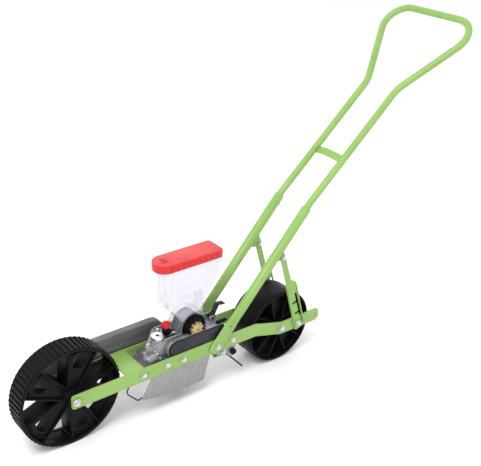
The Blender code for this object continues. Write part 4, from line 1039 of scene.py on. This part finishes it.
def chains():
    big, small, fine = (12.7 / 2 / math.sin(math.pi / 28), 12.7 / 2 / math.sin(math.pi / 12),
                        6.35 / 2 / math.sin(math.pi / 12))
    chainLoop("drive_chain", "dark_steel", (0.0, 140.0, big + 2.6), (shaft["x"], shaft["z"], small + 2.6), 12.7, 68.0, 8.0)
    chainLoop("spacing_chain", "dark_steel", (shaft["x"], shaft["z"], fine + 1.3),
              (shaft["spacingX"], shaft["z"], fine + 1.3), 6.35, -40.0, 5.0)


castBody()
gateControls()
seedRoller()
rollerDome()
hopperAndLid()
guardCover()
sheetParts()
chains()
plainCopies()
print("seeding unit made")


# floor, light and camera

def studio():
    bm = bmesh.new()
    bmesh.ops.create_grid(bm, x_segments=1, y_segments=1, size=9.0)
    mesh = bpy.data.meshes.new("floor")
    bm.to_mesh(mesh)
    bm.free()
    floor = bpy.data.objects.new("floor", mesh)
    s = Shader("studioFloor", Specular_IOR_Level=0.2)
    cloud = s.noise(3.0, 2.0)
    mesh.materials.append(s.finish(s.blend(cloud, (0.97, 0.97, 0.97), (0.96, 0.96, 0.96)), 0.8))
    bpy.context.scene.collection.objects.link(floor)
    world = bpy.data.worlds.new("studio")
    bpy.context.scene.world = world
    world.use_nodes = True
    back = world.node_tree.nodes["Background"]
    back.inputs["Color"].default_value = (1.0, 1.0, 1.0, 1.0)
    back.inputs["Strength"].default_value = 1.0
    bpy.context.scene.view_settings.view_transform = "Standard"
    for name, place, size, power in (("key", (-1.8, -0.9, 3.2), 1.6, 62.0), ("fill", (1.6, -2.8, 1.6), 2.0, 6.0),
                                     ("back", (1.2, 2.4, 2.2), 1.8, 8.0)):
        light = bpy.data.lights.new(name, "AREA")
        light.shape = "DISK"
        light.size = size
        light.energy = power
        lamp = bpy.data.objects.new(name, light)
        lamp.location = place
        lamp.rotation_euler = (Vector((0, 0, 0.3)) - Vector(place)).to_track_quat("-Z", "Y").to_euler()
        bpy.context.scene.collection.objects.link(lamp)


def camera():
    # azimuth, elevation and roll in degrees, distance and target in metres
    view = {"azimuth": -39.49, "elevation": 26.014, "roll": 2.439, "distance": 2.3714, "lens": 64.99,
            "target": (0.5478, -0.0001, 0.4352)}
    a, e, r = (math.radians(view[k]) for k in ("azimuth", "elevation", "roll"))
    back = Vector((math.sin(a) * math.cos(e), -math.cos(a) * math.cos(e), math.sin(e)))
    right = Vector((math.cos(a), math.sin(a), 0.0))
    up = back.cross(right)
    x = right * math.cos(r) + up * math.sin(r)
    y = up * math.cos(r) - right * math.sin(r)
    place = Matrix((x, y, back)).transposed().to_4x4()
    place.translation = Vector(view["target"]) + Vector((axleX, 0, 0)) + back * view["distance"]
    data = bpy.data.cameras.new("camera")
    data.lens = view["lens"]
    data.sensor_width = 36.0
    data.sensor_fit = "HORIZONTAL"
    eye = bpy.data.objects.new("camera", data)
    eye.matrix_world = place
    bpy.context.scene.collection.objects.link(eye)
    bpy.context.scene.camera = eye


studio()
camera()
print("studio made")
